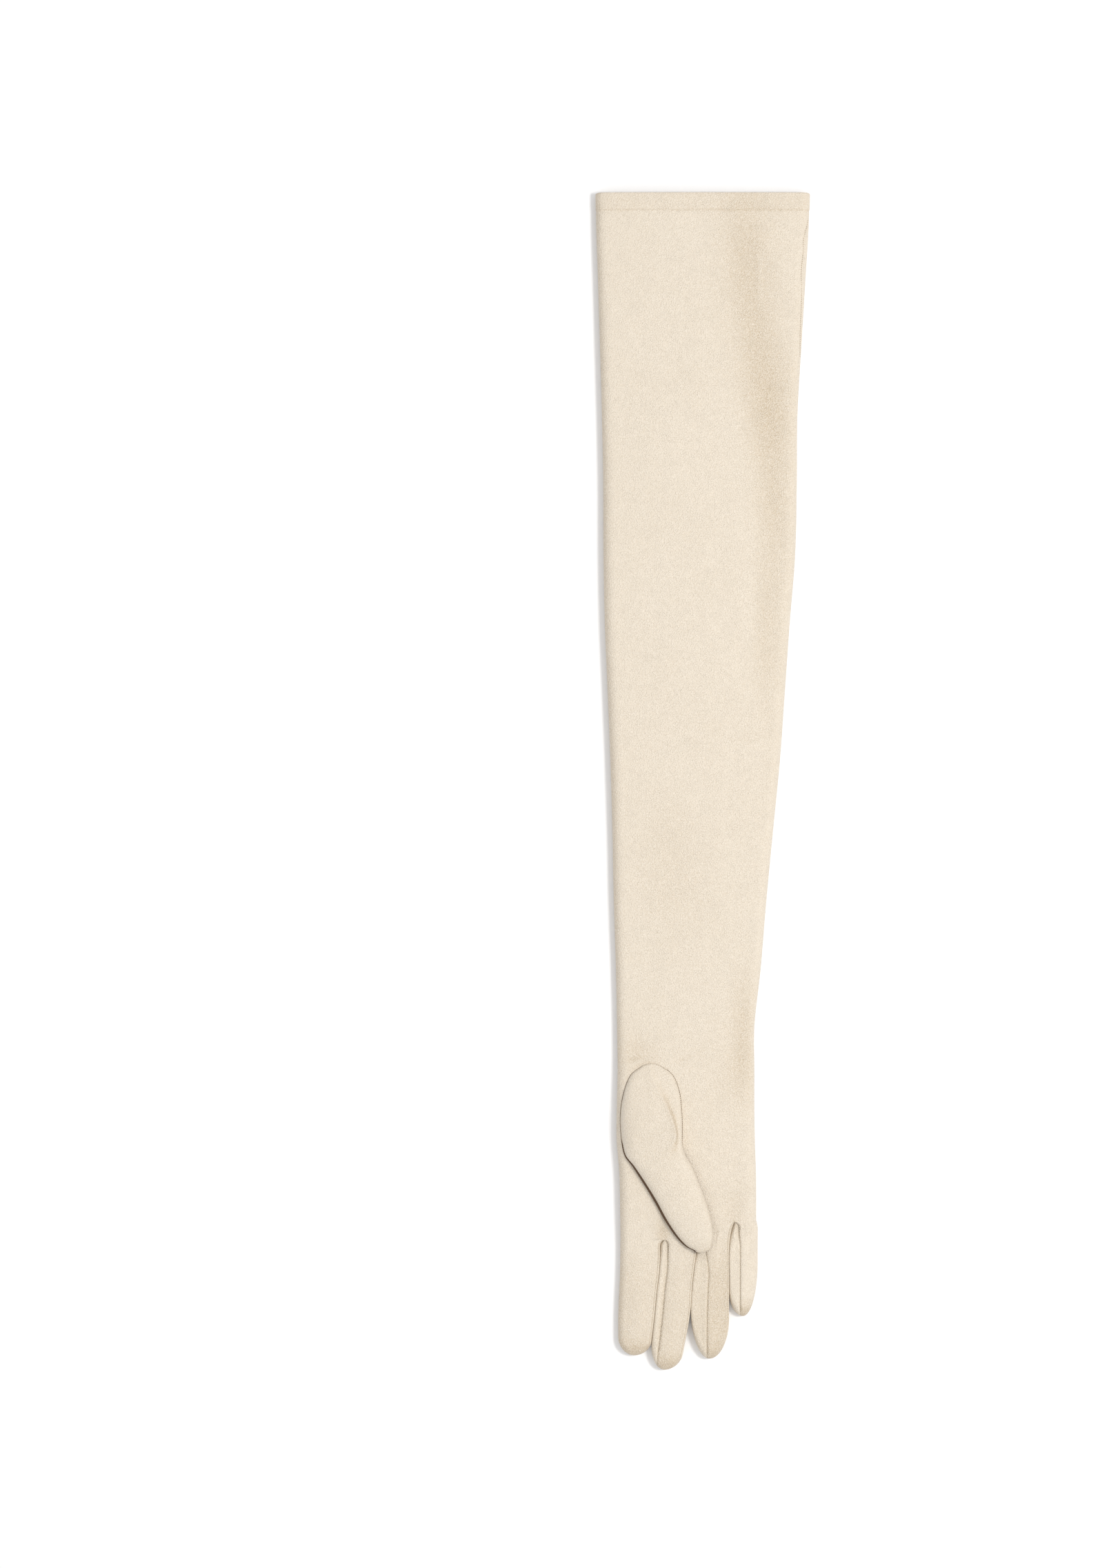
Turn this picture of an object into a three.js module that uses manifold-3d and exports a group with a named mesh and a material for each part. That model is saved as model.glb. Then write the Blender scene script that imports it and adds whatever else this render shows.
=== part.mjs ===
// A long leather evening glove for the right hand, lying flat on its back with the palm up
// and the thumb folded over the palm. Millimetres, +Z up, the cuff at +Y, the fingertips at -Y,
// the origin below the middle of the glove on the surface that it lies on.

import * as THREE from 'three';
import { mergeVertices } from 'three/addons/utils/BufferGeometryUtils.js';
import Module from 'manifold-3d';

const wasm = await Module();
wasm.setup();

// Driving dimensions
const gloveLength = 701; // cuff edge to the tip of the middle finger
const cuffWidth = 127.5; // across the flattened mouth
const wristWidth = 81.6;
const palmWidth = 81.4;
const palmLength = 123; // wrist to the roots of the fingers
const wristOffset = -10.2; // how far the wrist lies to the index side of the cuff's middle
const leather = 1; // thickness of the skin
const seamGap = 0.3; // between pieces that are sewn together
const hemDepth = 10.6; // leather turned in at the cuff
const cuffHeight = 11.5; // thickness of the lying glove, both walls and the air between
const wristHeight = 11.5;
const palmHeight = 13;
const rootHeight = 11.5;
const fingerHeight = 11;
const sheetCrown = 0.8; // how much the upper wall swells between its edges
const rootOverlap = 14; // how far a finger's tube reaches into the palm
const thumbLength = 112; // top of the set-in oval to the thumb's tip
const thumbWidth = 36; // across the set-in oval
const thumbRise = 9.8; // height of the folded thumb above the palm
const thumbTop = 17.2; // from the wrist down to the top of the set-in oval
const thumbSide = 2; // from the palm's edge to the oval
const foldCrown = 2.4; // how much the thumb's fold stands up over its base
const thumbCrown = 1.6; // how round the folded thumb is above
const littleRise = 10.7; // the little finger's root lies this much nearer to the wrist
const seamTip = 2.6; // half of the strip of trank that closes over a fingertip
const forkNotch = 1.6; // how far a fork's point reaches past the web between two fingers

// Numbers of steps round a section: each rolled edge, the upper wall and the lower wall
const bodySteps = { edge: 6, top: 10, base: 10 };
const fingerSteps = { edge: 6, top: 3, base: 3 };
const thumbSteps = { edge: 6, top: 8, base: 8 };
const tipSteps = 5;
const tipTurn = 1.46; // how far round its end a fingertip is followed, in radians
const tipBlunt = 0.02; // share of a fingertip's rounding that is left off, so that it ends blunt
const tipReach = 0.55; // length of a fingertip's rounding as a share of the finger's width
const tipThin = 0.55; // height of a fingertip's end as a share of the finger's
const seamSteps = 9; // along a finger's seam
const seamEase = 0.8; // below 1 the steps of a seam lie closer at the fingertip
const seamRun = 1.25; // where a seam starts to close over the tip, as a share of the rounding
const fingerShares = [0.8, 0.6, 0.4]; // sections between a finger's root and its rounding
const rollShare = 0.45; // the widest that a rolled edge may be, as a share of the section's width
const crownShare = 1 / 3; // the most that a crown may be, as a share of the section's height
const thinnest = 0.4; // least width and height of a section that is drawn in
const forkPoint = 1; // half the width of a fork's blunt point
const littleStart = 0.6; // where the step back to the little finger begins across the palm
const littleBlend = 0.24; // how much of the palm's width that step takes
const rootFade = 0.45; // how far the step reaches up the palm, as a share of its length

// Lengths of the fingers and where their edges lie, as shares of the palm's width from its
// index edge: at the root, and where the rounding of the tip begins
const fingers = [
  { name: 'index', length: 68.5, rootLeft: 0.0, rootRight: 0.305, endLeft: -0.015, endRight: 0.222, rise: 0 },
  { name: 'middle', length: 77.1, rootLeft: 0.315, rootRight: 0.569, endLeft: 0.23, endRight: 0.465, rise: 0 },
  { name: 'ring', length: 70.5, rootLeft: 0.579, rootRight: 0.827, endLeft: 0.532, endRight: 0.782, rise: 0 },
  { name: 'little', length: 55.8, rootLeft: 0.843, rootRight: 0.992, endLeft: 0.8, endRight: 0.995, rise: 1 },
];

// Where the seams of a finger run, as shares of half its width from its middle, on the palm
// side and on the back: the fingers lie rolled, so that one fork shows above and one below
const seams = {
  index: { rightPalm: 0.9, rightBack: 0.6 },
  middle: { leftPalm: -0.64, leftBack: -0.86, rightPalm: 0.9, rightBack: 0.6 },
  ring: { leftPalm: -0.26, leftBack: -0.86, rightPalm: 0.9, rightBack: 0.5 },
  little: { leftPalm: -0.28, leftBack: -0.84 },
};

// The sleeve from the wrist to the cuff: shares of its length, of the growth in width, of the
// drift to the side and of the growth in height
const sleeve = [
  { along: 0.0, flare: 0.0, drift: 0.0, swell: 0.0 },
  { along: 0.08, flare: 0.105, drift: 0.16, swell: 0.3 },
  { along: 0.16, flare: 0.205, drift: 0.26, swell: 0.55 },
  { along: 0.245, flare: 0.312, drift: 0.42, swell: 0.8 },
  { along: 0.33, flare: 0.43, drift: 0.56, swell: 0.95 },
  { along: 0.41, flare: 0.527, drift: 0.62, swell: 1.0 },
  { along: 0.49, flare: 0.625, drift: 0.68, swell: 1.0 },
  { along: 0.57, flare: 0.71, drift: 0.8, swell: 0.95 },
  { along: 0.655, flare: 0.735, drift: 0.84, swell: 0.85 },
  { along: 0.735, flare: 0.76, drift: 0.82, swell: 0.7 },
  { along: 0.82, flare: 0.84, drift: 0.88, swell: 0.5 },
  { along: 0.9, flare: 0.92, drift: 0.94, swell: 0.25 },
  { along: 0.96, flare: 0.98, drift: 0.98, swell: 0.1 },
  { along: 1.0, flare: 1.0, drift: 1.0, swell: 0.0 },
];
const sleeveSwell = 1.4; // extra height of the sleeve's middle

// The hand from the roots of the fingers to the wrist: shares of the palm's length and width,
// of the drift back towards the wrist's middle and of the height between root and palm
const hand = [
  { along: 0.0, width: 0.993, drift: 0.16, height: 0.0 },
  { along: 0.06, width: 0.994, drift: 0.155, height: 0.25 },
  { along: 0.16, width: 0.996, drift: 0.145, height: 0.65 },
  { along: 0.33, width: 1.0, drift: 0.11, height: 1.0 },
  { along: 0.5, width: 1.012, drift: 0.0, height: 1.0 },
  { along: 0.66, width: 1.006, drift: 0.0, height: 1.0 },
  { along: 0.83, width: 1.002, drift: 0.02, height: 0.55 },
];

// Soft hollows and swellings of the upper wall: places as shares of the glove's length from the
// fingertips and of half the cuff's width, reach as shares of the same, height in millimetres
const relief = [
  { along: 0.886, across: 0.52, reach: 0.045, spread: 0.3, height: -1.2 },
  { along: 0.8, across: -0.35, reach: 0.06, spread: 0.35, height: 0.5 },
  { along: 0.62, across: 0.1, reach: 0.09, spread: 0.4, height: 0.45 },
  { along: 0.43, across: -0.3, reach: 0.06, spread: 0.3, height: -0.35 },
  { along: 0.268, across: -0.62, reach: 0.016, spread: 0.16, height: -0.7 },
  { along: 0.25, across: 0.35, reach: 0.03, spread: 0.3, height: -0.4 },
];

// The thumb from the top of its oval to its tip: its two edges as shares of its width from the
// oval's left side and of its length, its height as a share of its rise, where its fold runs
// across it, and whether it stands on the palm (0) or lies free above it (1)
const thumb = [
  { left: 0.3, leftAlong: 0.012, right: 0.7, rightAlong: 0.012, height: 0.12, fold: 0.5, free: 0 },
  { left: 0.16, leftAlong: 0.06, right: 0.86, rightAlong: 0.06, height: 0.34, fold: 0.52, free: 0 },
  { left: 0.05, leftAlong: 0.145, right: 0.97, rightAlong: 0.145, height: 0.6, fold: 0.6, free: 0 },
  { left: -0.01, leftAlong: 0.25, right: 1.01, rightAlong: 0.245, height: 0.82, fold: 0.68, free: 0 },
  { left: -0.01, leftAlong: 0.365, right: 1.02, rightAlong: 0.34, height: 0.96, fold: 0.76, free: 0 },
  { left: 0.05, leftAlong: 0.48, right: 1.02, rightAlong: 0.425, height: 1.0, fold: 0.8, free: 0 },
  { left: 0.19, leftAlong: 0.545, right: 1.07, rightAlong: 0.485, height: 1.0, fold: 0.7, free: 1 },
  { left: 0.35, leftAlong: 0.625, right: 1.17, rightAlong: 0.54, height: 0.98, fold: 0.6, free: 1 },
  { left: 0.54, leftAlong: 0.725, right: 1.3, rightAlong: 0.64, height: 0.95, fold: 0.55, free: 1 },
  { left: 0.72, leftAlong: 0.83, right: 1.42, rightAlong: 0.745, height: 0.92, fold: 0.5, free: 1 },
  { left: 0.9, leftAlong: 0.915, right: 1.5, rightAlong: 0.84, height: 0.86, fold: 0.5, free: 1 },
  { left: 1.06, leftAlong: 0.967, right: 1.52, rightAlong: 0.92, height: 0.74, fold: 0.5, free: 1 },
  { left: 1.2, leftAlong: 0.99, right: 1.49, rightAlong: 0.965, height: 0.6, fold: 0.5, free: 1 },
];

// Places that follow from the sizes
const tipY = -gloveLength / 2;
const cuffY = gloveLength / 2;
const rootY = tipY + fingers[1].length;
const wristY = rootY + palmLength;
const sleeveLength = cuffY - wristY;
const palmLeft = wristOffset * (1 - hand[0].drift) - (palmWidth * hand[0].width) / 2;

const smooth = (t) => {
  const s = Math.min(1, Math.max(0, t));
  return s * s * (3 - 2 * s);
};
const mix = (a, b, t) => a + (b - a) * t;

// Height that the soft hollows add to the upper wall at a place
function reliefAt(x, y) {
  let sum = 0;
  for (const spot of relief) {
    const dy = (y - (tipY + spot.along * gloveLength)) / (spot.reach * gloveLength);
    const dx = (x - (spot.across * cuffWidth) / 2) / ((spot.spread * cuffWidth) / 2);
    sum += spot.height * Math.exp(-dx * dx - dy * dy);
  }
  return sum;
}

// One section standing on the line from left to right: flat below, edges rolled, crowned above.
// The inset draws it in by a wall's thickness, and a negative one grows it.
function ring(row, inset) {
  const [lx, ly] = row.left;
  const [rx, ry] = row.right;
  const span = Math.hypot(rx - lx, ry - ly);
  const width = Math.max(span - 2 * inset, thinnest);
  const base = row.base + inset;
  const top = Math.max(row.top - inset, base + thinnest);
  const crown = Math.min(row.crown, (top - base) * crownShare);
  const shoulder = top - crown;
  const halfRise = (shoulder - base) / 2;
  const roll = Math.min(halfRise, width * rollShare);
  const points = [];
  const put = (across, z) => {
    const u = (inset + across) / span;
    const x = mix(lx, rx, u);
    const y = mix(ly, ry, u);
    const lift = row.soft * reliefAt(x, y) * ((z - base) / (top - base));
    points.push([x, y + row.bend(x), z + lift]);
  };
  const { edge, top: over, base: under } = row.steps;
  for (let i = 0; i <= under; i++) {
    put(mix(roll, width - roll, i / under), base);
  }
  for (let i = 1; i < edge; i++) {
    const a = (Math.PI * i) / edge;
    put(width - roll + roll * Math.sin(a), base + halfRise - halfRise * Math.cos(a));
  }
  for (let i = 0; i <= over; i++) {
    const t = 1 - i / over;
    const away = (t - row.fold) / Math.max(row.fold, 1 - row.fold);
    put(mix(roll, width - roll, t), shoulder + crown * (1 - away * away));
  }
  for (let i = 1; i < edge; i++) {
    const a = (Math.PI * i) / edge;
    put(roll - roll * Math.sin(a), base + halfRise + halfRise * Math.cos(a));
  }
  return points;
}

const straight = () => 0;
const plain = { crown: sheetCrown, fold: 0.5, soft: 0, bend: straight };
const row = (left, right, base, top, more) => ({ left, right, base, top, ...plain, ...more });

// A closed body through a list of rings with equal numbers of points. Its ends are closed by
// upright strips, from the middle of the left edge to the middle of the right one.
function loft(rings, steps) {
  const count = rings[0].length;
  const positions = rings.flat(2);
  const index = [];
  for (let r = 0; r + 1 < rings.length; r++) {
    for (let i = 0; i < count; i++) {
      const a = r * count + i;
      const b = r * count + ((i + 1) % count);
      index.push(a, b, b + count, a, b + count, a + count);
    }
  }
  const last = (rings.length - 1) * count;
  const start = count - steps.edge / 2;
  const at = (i) => (start + i + count) % count;
  for (let i = 0; i < count / 2; i++) {
    const [low, lowNext, high, highNext] = [at(i), at(i + 1), at(-i), at(-i - 1)];
    if (lowNext !== highNext) {
      index.push(lowNext, low, highNext, last + low, last + lowNext, last + highNext);
    }
    if (low !== high) index.push(low, high, highNext, last + high, last + low, last + highNext);
  }
  return solid(positions, index);
}

// A boolean solid from positions and triangles, turned to face out
function solid(positions, index) {
  const geometry = new THREE.BufferGeometry();
  geometry.setAttribute('position', new THREE.Float32BufferAttribute(positions, 3));
  geometry.setIndex(index);
  const merged = mergeVertices(geometry, 1e-4);
  const triangles = Array.from(merged.index.array);
  const p = merged.attributes.position.array;
  let volume = 0;
  for (let i = 0; i < triangles.length; i += 3) {
    const [a, b, c] = [triangles[i] * 3, triangles[i + 1] * 3, triangles[i + 2] * 3];
    volume += p[a] * (p[b + 1] * p[c + 2] - p[b + 2] * p[c + 1]);
    volume += p[a + 1] * (p[b + 2] * p[c] - p[b] * p[c + 2]);
    volume += p[a + 2] * (p[b] * p[c + 1] - p[b + 1] * p[c]);
  }
  if (volume < 0) triangles.reverse();
  return new wasm.Manifold(
    new wasm.Mesh({
      numProp: 3,
      vertProperties: new Float32Array(p),
      triVerts: new Uint32Array(triangles),
    }),
  );
}

// The palm's end follows the roots of the fingers: it steps back for the little finger
const stepBack = (x) =>
  littleRise * smooth(((x - palmLeft) / palmWidth - littleStart) / littleBlend);

// Rows of the hand and sleeve, with the ends moved by the wall so that a hollow stays closed at
// the fingers and open at the cuff
function bodyRows(inset, mouth) {
  const rows = [];
  for (const h of hand) {
    const half = (palmWidth * h.width) / 2;
    const middle = wristOffset * (1 - h.drift);
    const y = rootY + h.along * palmLength + (h.along === 0 ? inset : 0);
    const fade = 1 - smooth(h.along / rootFade);
    const height = mix(rootHeight, palmHeight, h.height);
    rows.push(
      row([middle - half, y], [middle + half, y], 0, height, {
        steps: bodySteps,
        soft: 1 - fade,
        bend: (x) => fade * stepBack(x),
      }),
    );
  }
  for (const s of sleeve) {
    const half = mix(wristWidth, cuffWidth, s.flare) / 2;
    const middle = mix(wristOffset, 0, s.drift);
    const y = wristY + s.along * sleeveLength + (s.along === 1 ? mouth : 0);
    const height = mix(wristHeight, cuffHeight, s.along) + sleeveSwell * s.swell;
    rows.push(row([middle - half, y], [middle + half, y], 0, height, { steps: bodySteps, soft: 1 }));
  }
  return rows;
}
const body = (inset, mouth = 0) =>
  loft(
    bodyRows(inset, mouth).map((r) => ring(r, inset)),
    bodySteps,
  );

// The edges of a finger at a distance from its tip, drawn in by an inset
function fingerEdges(finger, fromTip) {
  const end = (finger.endRight - finger.endLeft) * palmWidth * tipReach;
  const t = Math.min(1, Math.max(0, (finger.length - fromTip) / (finger.length - end)));
  const left = palmLeft + palmWidth * mix(finger.rootLeft, finger.endLeft, t);
  const right = palmLeft + palmWidth * mix(finger.rootRight, finger.endRight, t);
  const rounding = Math.sqrt(1 - ((1 - tipBlunt) * Math.max(0, 1 - fromTip / end)) ** 2);
  return { middle: (left + right) / 2, half: ((right - left) / 2) * rounding, end, rounding };
}
const fingerRoot = (finger) => rootY + finger.rise * littleRise;
const fingerTip = (finger) => fingerRoot(finger) - finger.length;

// A finger's tube, its end drawn in by the inset as its walls are
function fingerBody(finger, inset) {
  const { end } = fingerEdges(finger, finger.length);
  const places = [finger.length + rootOverlap, finger.length + rootOverlap / 2, finger.length];
  for (const share of fingerShares) places.push(end + (finger.length - end) * share);
  for (let i = 0; i <= tipSteps; i++) {
    places.push(end * (1 - Math.sin(tipTurn * (i / tipSteps)) / Math.sin(tipTurn)));
  }
  const rings = places.map((fromTip) => {
    const { middle, half, rounding } = fingerEdges(finger, fromTip);
    const narrow = Math.max(0, half - inset * rounding);
    const y = fingerTip(finger) + fromTip + inset * (1 - smooth((fromTip - end / 4) / end));
    const top = fingerHeight * mix(tipThin, 1, rounding);
    const [left, right] = [middle - narrow - inset, middle + narrow + inset];
    return ring(row([left, y], [right, y], 0, top, { steps: fingerSteps }), inset);
  });
  return loft(rings, fingerSteps);
}

// The set-in thumb: rows that stand in the palm around the oval, then lie free above it
const ovalLeft = wristOffset - palmWidth / 2 + thumbSide;
const ovalTop = wristY - thumbTop;
function thumbRows() {
  return thumb.map((t) => {
    const left = [ovalLeft + t.left * thumbWidth, ovalTop - t.leftAlong * thumbLength];
    const right = [ovalLeft + t.right * thumbWidth, ovalTop - t.rightAlong * thumbLength];
    const base = mix(palmHeight / 2, palmHeight + seamGap, t.free);
    const crown = mix(foldCrown, thumbCrown, t.free);
    const top = palmHeight + thumbRise * t.height;
    return row(left, right, base, top, { steps: thumbSteps, crown, fold: t.fold });
  });
}
const thumbOuter = loft(
  thumbRows().map((r) => ring(r, 0)),
  thumbSteps,
);
const thumbHollow = loft(
  thumbRows()
    .slice(1, -1)
    .map((r) => ring(r, leather)),
  thumbSteps,
);

// The region of a fork between two fingers, seen from above, as a prism whose upper outline
// follows the seams on the palm and whose lower outline follows those on the back
function forkPlan(first, second, side, grow) {
  const lowest = Math.min(fingerTip(first), fingerTip(second)) - fingerHeight;
  const trace = (finger, share, toward) => {
    const points = [];
    for (let i = 0; i <= seamSteps; i++) {
      const fromTip = finger.length * (1 - (i / seamSteps) ** seamEase);
      const { middle, half, end } = fingerEdges(finger, fromTip);
      const blend = smooth(fromTip / (seamRun * end));
      const x = middle + mix(toward * seamTip, share * half, blend) - toward * grow;
      points.push([x, fingerTip(finger) + fromTip]);
    }
    points.push([points[seamSteps][0], lowest]);
    return points;
  };
  const down = trace(first, seams[first.name][`right${side}`], 1);
  const up = trace(second, seams[second.name][`left${side}`], -1).reverse();
  const rootOf = Math.max(fingerRoot(first), fingerRoot(second));
  const apexX = palmLeft + (palmWidth * (first.rootRight + second.rootLeft)) / 2;
  const apexY = rootOf + leather + forkNotch + grow;
  const point = forkPoint + grow;
  return [[apexX - point, apexY], ...down.slice(1), ...up.slice(0, -1), [apexX + point, apexY]];
}
function forkRegion(first, second, grow) {
  const low = forkPlan(first, second, 'Back', grow);
  const high = forkPlan(first, second, 'Palm', grow);
  const count = low.length;
  const faces = THREE.ShapeUtils.triangulateShape(
    high.map(([x, y]) => new THREE.Vector2(x, y)),
    [],
  );
  const positions = [...low.map(([x, y]) => [x, y, -1]), ...high.map(([x, y]) => [x, y, palmHeight])].flat();
  const index = [];
  for (const [a, b, c] of faces) index.push(a, c, b, a + count, b + count, c + count);
  for (let i = 0; i < count; i++) {
    const j = (i + 1) % count;
    index.push(i, j, j + count, i, j + count, i + count);
  }
  return solid(positions, index);
}

// The whole skin of hand, sleeve and fingers, hollow and open at the cuff
let outer = body(0);
let hollow = body(leather, leather);
for (const finger of fingers) {
  outer = outer.add(fingerBody(finger, 0));
  hollow = hollow.add(fingerBody(finger, leather));
}
const skin = outer.subtract(hollow);

// Three forks between the fingers, and the trank that is cut back around them and the thumb
const pairs = [0, 1, 2].map((i) => [fingers[i], fingers[i + 1]]);
const forks = pairs.map(([first, second]) => ({
  name: `fourchette_${first.name}_${second.name}`,
  body: skin.intersect(forkRegion(first, second, 0)),
}));
let trank = skin.subtract(thumbHollow);
for (const [first, second] of pairs) {
  trank = trank.subtract(forkRegion(first, second, seamGap));
}
const thumbBody = thumbOuter.subtract(thumbHollow).subtract(body(-seamGap));

// The hem turned in at the cuff lies inside the mouth
function hemBody() {
  const inset = leather + seamGap;
  const rows = bodyRows(0, 0);
  const [near, edge] = rows.slice(-2);
  const at = (t) => {
    const blend = (a, b) => [mix(a[0], b[0], t), mix(a[1], b[1], t)];
    const top = mix(near.top, edge.top, t);
    const more = { steps: bodySteps, soft: 1 };
    return row(blend(near.left, edge.left), blend(near.right, edge.right), 0, top, more);
  };
  const start = 1 - hemDepth / (edge.left[1] - near.left[1]);
  const past = 1 + leather / (edge.left[1] - near.left[1]);
  const before = start - leather / (edge.left[1] - near.left[1]);
  const outside = loft(
    [start, 1].map((t) => ring(at(t), inset)),
    bodySteps,
  );
  const inside = loft(
    [before, past].map((t) => ring(at(t), inset + leather)),
    bodySteps,
  );
  return outside.subtract(inside);
}

// Each piece as a mesh of its own with the leather's colour
const creamLeather = { color: 0xe9dcc6, roughness: 0.62, metalness: 0 };
const shadedLeather = { color: 0xdfd0b6, roughness: 0.66, metalness: 0 };
function piece(name, manifold, finish) {
  const mesh = manifold.getMesh();
  const geometry = new THREE.BufferGeometry();
  geometry.setAttribute('position', new THREE.Float32BufferAttribute(mesh.vertProperties, 3));
  geometry.setIndex(new THREE.BufferAttribute(mesh.triVerts, 1));
  geometry.computeVertexNormals();
  const made = new THREE.Mesh(geometry, new THREE.MeshStandardMaterial(finish));
  made.name = name;
  return made;
}

const group = new THREE.Group();
group.add(piece('trank', trank, creamLeather));
group.add(piece('thumb', thumbBody, creamLeather));
for (const fork of forks) group.add(piece(fork.name, fork.body, shadedLeather));
group.add(piece('cuff_hem', hemBody(), shadedLeather));

export default group;
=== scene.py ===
import logging
import math
from dataclasses import dataclass, field
from enum import Enum

import bpy
import numpy as np
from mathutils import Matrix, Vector


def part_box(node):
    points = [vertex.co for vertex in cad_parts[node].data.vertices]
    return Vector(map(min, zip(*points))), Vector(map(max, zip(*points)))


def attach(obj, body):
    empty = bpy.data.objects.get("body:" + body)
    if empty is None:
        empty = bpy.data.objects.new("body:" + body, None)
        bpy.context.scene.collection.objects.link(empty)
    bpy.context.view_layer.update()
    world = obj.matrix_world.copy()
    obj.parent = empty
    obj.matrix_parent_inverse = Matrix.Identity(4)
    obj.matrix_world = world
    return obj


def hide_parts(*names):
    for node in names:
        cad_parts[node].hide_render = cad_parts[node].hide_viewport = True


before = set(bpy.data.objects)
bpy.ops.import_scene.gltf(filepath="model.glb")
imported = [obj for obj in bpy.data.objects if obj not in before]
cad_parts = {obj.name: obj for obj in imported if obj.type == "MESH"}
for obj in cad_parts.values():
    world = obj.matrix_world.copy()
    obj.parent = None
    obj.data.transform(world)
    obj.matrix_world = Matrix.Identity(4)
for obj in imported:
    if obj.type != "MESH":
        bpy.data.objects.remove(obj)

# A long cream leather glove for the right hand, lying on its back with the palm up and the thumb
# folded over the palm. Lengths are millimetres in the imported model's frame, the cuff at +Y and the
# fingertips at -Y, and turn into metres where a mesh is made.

Array = np.ndarray
Socket = bpy.types.NodeSocket
MM = 0.001
PER_MM = 1000.0
TINY = 1e-6
WELD_DIGITS = 4
# Name of the point attribute that carries the painted shade: darker where shade falls, and up to 2 in a
# crease painted as a dark shadow; it also makes the grain's furrows show more
SHADE = "painted_shade_and_furrow"
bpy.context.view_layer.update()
LOG = logging.getLogger("long_glove")


class Slot(Enum):
    """The record's material slots."""

    LEATHER = "leather"
    FORK = "fork_leather"
    HEM = "hem_leather"


# Curves and sections


def smooth(t: Array) -> Array:
    """Ease from 0 to 1: three times the square of t less twice its cube."""
    s = np.clip(t, 0.0, 1.0)
    return s * s * (3.0 - 2.0 * s)


def mix(a: Array, b: Array, t: Array) -> Array:
    """Straight blend from a, where t is 0, to b, where t is 1."""
    return a + (b - a) * t


def bell(t: Array) -> Array:
    """Bell of height 1 that falls off with the square of t."""
    return np.exp(-t * t)


def curve(at: Array, places: Array, values: Array) -> Array:
    """Smooth curve through a table: cubic pieces whose slopes are the table's own mean slopes.

    Args:
        at: where the curve is wanted.
        places: rising places of the table.
        values: its values there.

    Returns:
        The curve's values, held level past both ends.
    """
    places = np.asarray(places, float)
    values = np.asarray(values, float)
    slopes = np.gradient(values, places)
    i = np.clip(np.searchsorted(places, at, side="right") - 1, 0, len(places) - 2)
    step = places[i + 1] - places[i]
    t = np.clip((at - places[i]) / step, 0.0, 1.0)
    start = (1 + 2 * t) * (1 - t) ** 2 * values[i] + t * (1 - t) ** 2 * step * slopes[i]
    end = t * t * (3 - 2 * t) * values[i + 1] + t * t * (t - 1) * step * slopes[i + 1]
    return start + end


def ellipse(t: Array) -> Array:
    """Quarter of an ellipse: 0 at t 0, rising upright, level at 1 from t 1 on."""
    return np.sqrt(1 - np.clip(1 - t, 0.0, 1.0) ** 2)


def steps_between(start: float, end: float, count: int) -> Array:
    """Evenly spaced places from start up to, but without, end."""
    return np.linspace(start, end, count, endpoint=False)


@dataclass
class Section:
    """Section of a flattened tube, standing across the glove.

    Its edges are rolled, each a quarter of a rounded box above and below the middle plane, and its
    upper side swells a little as a parabola. All fields are arrays that fit together.
    """

    middle: Array
    half: Array
    rise: Array
    level: Array
    crown: float = 0.0
    left_square: Array | float = 2.0
    right_square: Array | float = 2.0
    roll_share: float = 0.9

    def roll(self) -> Array:
        """Reach of a rolled edge: as wide as the section is high, where there is room."""
        return np.minimum(self.rise, self.half * self.roll_share)

    def share_of(self, across: Array) -> Array:
        """Share of the way over the upper side at a place across it.

        Args:
            across: place across as a share of the half width, from -1 at the left edge to 1.

        Returns:
            0 at the left edge, 1 at the right edge.
        """
        roll = self.roll()
        x = np.clip(across, -1.0, 1.0) * self.half
        quarter = roll * math.pi / 2
        flat = 2 * (self.half - roll)
        total = 2 * quarter + flat

        def turn(from_edge: Array, square: Array) -> Array:
            """Length of the rolled edge from its end up to a distance across."""
            inner = np.clip(1 - from_edge / np.maximum(roll, TINY), 0.0, 1.0)
            return np.arccos(np.clip(inner ** (square / 2), 0.0, 1.0)) * roll

        left = turn(x + self.half, self.left_square)
        right = total - turn(self.half - x, self.right_square)
        length = np.where(x < -self.half + roll, left, quarter + x + self.half - roll)
        length = np.where(x > self.half - roll, right, length)
        return length / np.maximum(total, TINY)

    def at(self, way: Array) -> tuple[Array, Array, Array, Array]:
        """Place on the section.

        Args:
            way: 0 at the left edge, over the upper side to 1 at the right edge, and back under the
                lower side to 2.

        Returns:
            x, z, and the outward direction's x and z.
        """
        way = np.mod(way, 2.0)
        under = way > 1.0
        share = np.where(under, 2.0 - way, way)
        roll = self.roll()
        quarter = roll * math.pi / 2
        flat = 2 * (self.half - roll)
        total = 2 * quarter + flat
        length = share * total
        safe = np.maximum(roll, TINY)
        a = np.clip(length / safe, 0.0, math.pi / 2)
        b = np.clip((total - length) / safe, 0.0, math.pi / 2)
        along = np.clip((length - quarter) / np.maximum(flat, TINY), 0.0, 1.0)
        left_x = -self.half + roll * (1 - np.cos(a) ** (2 / self.left_square))
        left_z = self.rise * np.sin(a) ** (2 / self.left_square)
        right_x = self.half - roll * (1 - np.cos(b) ** (2 / self.right_square))
        right_z = self.rise * np.sin(b) ** (2 / self.right_square)
        top_x = -self.half + roll + flat * along
        swell = np.where(under, 0.0, self.crown) * (1 - (2 * along - 1) ** 2)
        on_left = length < quarter
        on_right = length > total - quarter
        x = np.where(on_left, left_x, np.where(on_right, right_x, top_x))
        z = np.where(on_left, left_z, np.where(on_right, right_z, self.rise + swell))
        nx = np.where(on_left, -np.cos(a), np.where(on_right, np.cos(b), 0.0))
        nz = np.where(on_left, np.sin(a), np.where(on_right, np.sin(b), 1.0))
        side = np.where(under, -1.0, 1.0)
        return self.middle + x, self.level + side * z, nx, side * nz


# Meshes


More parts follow.
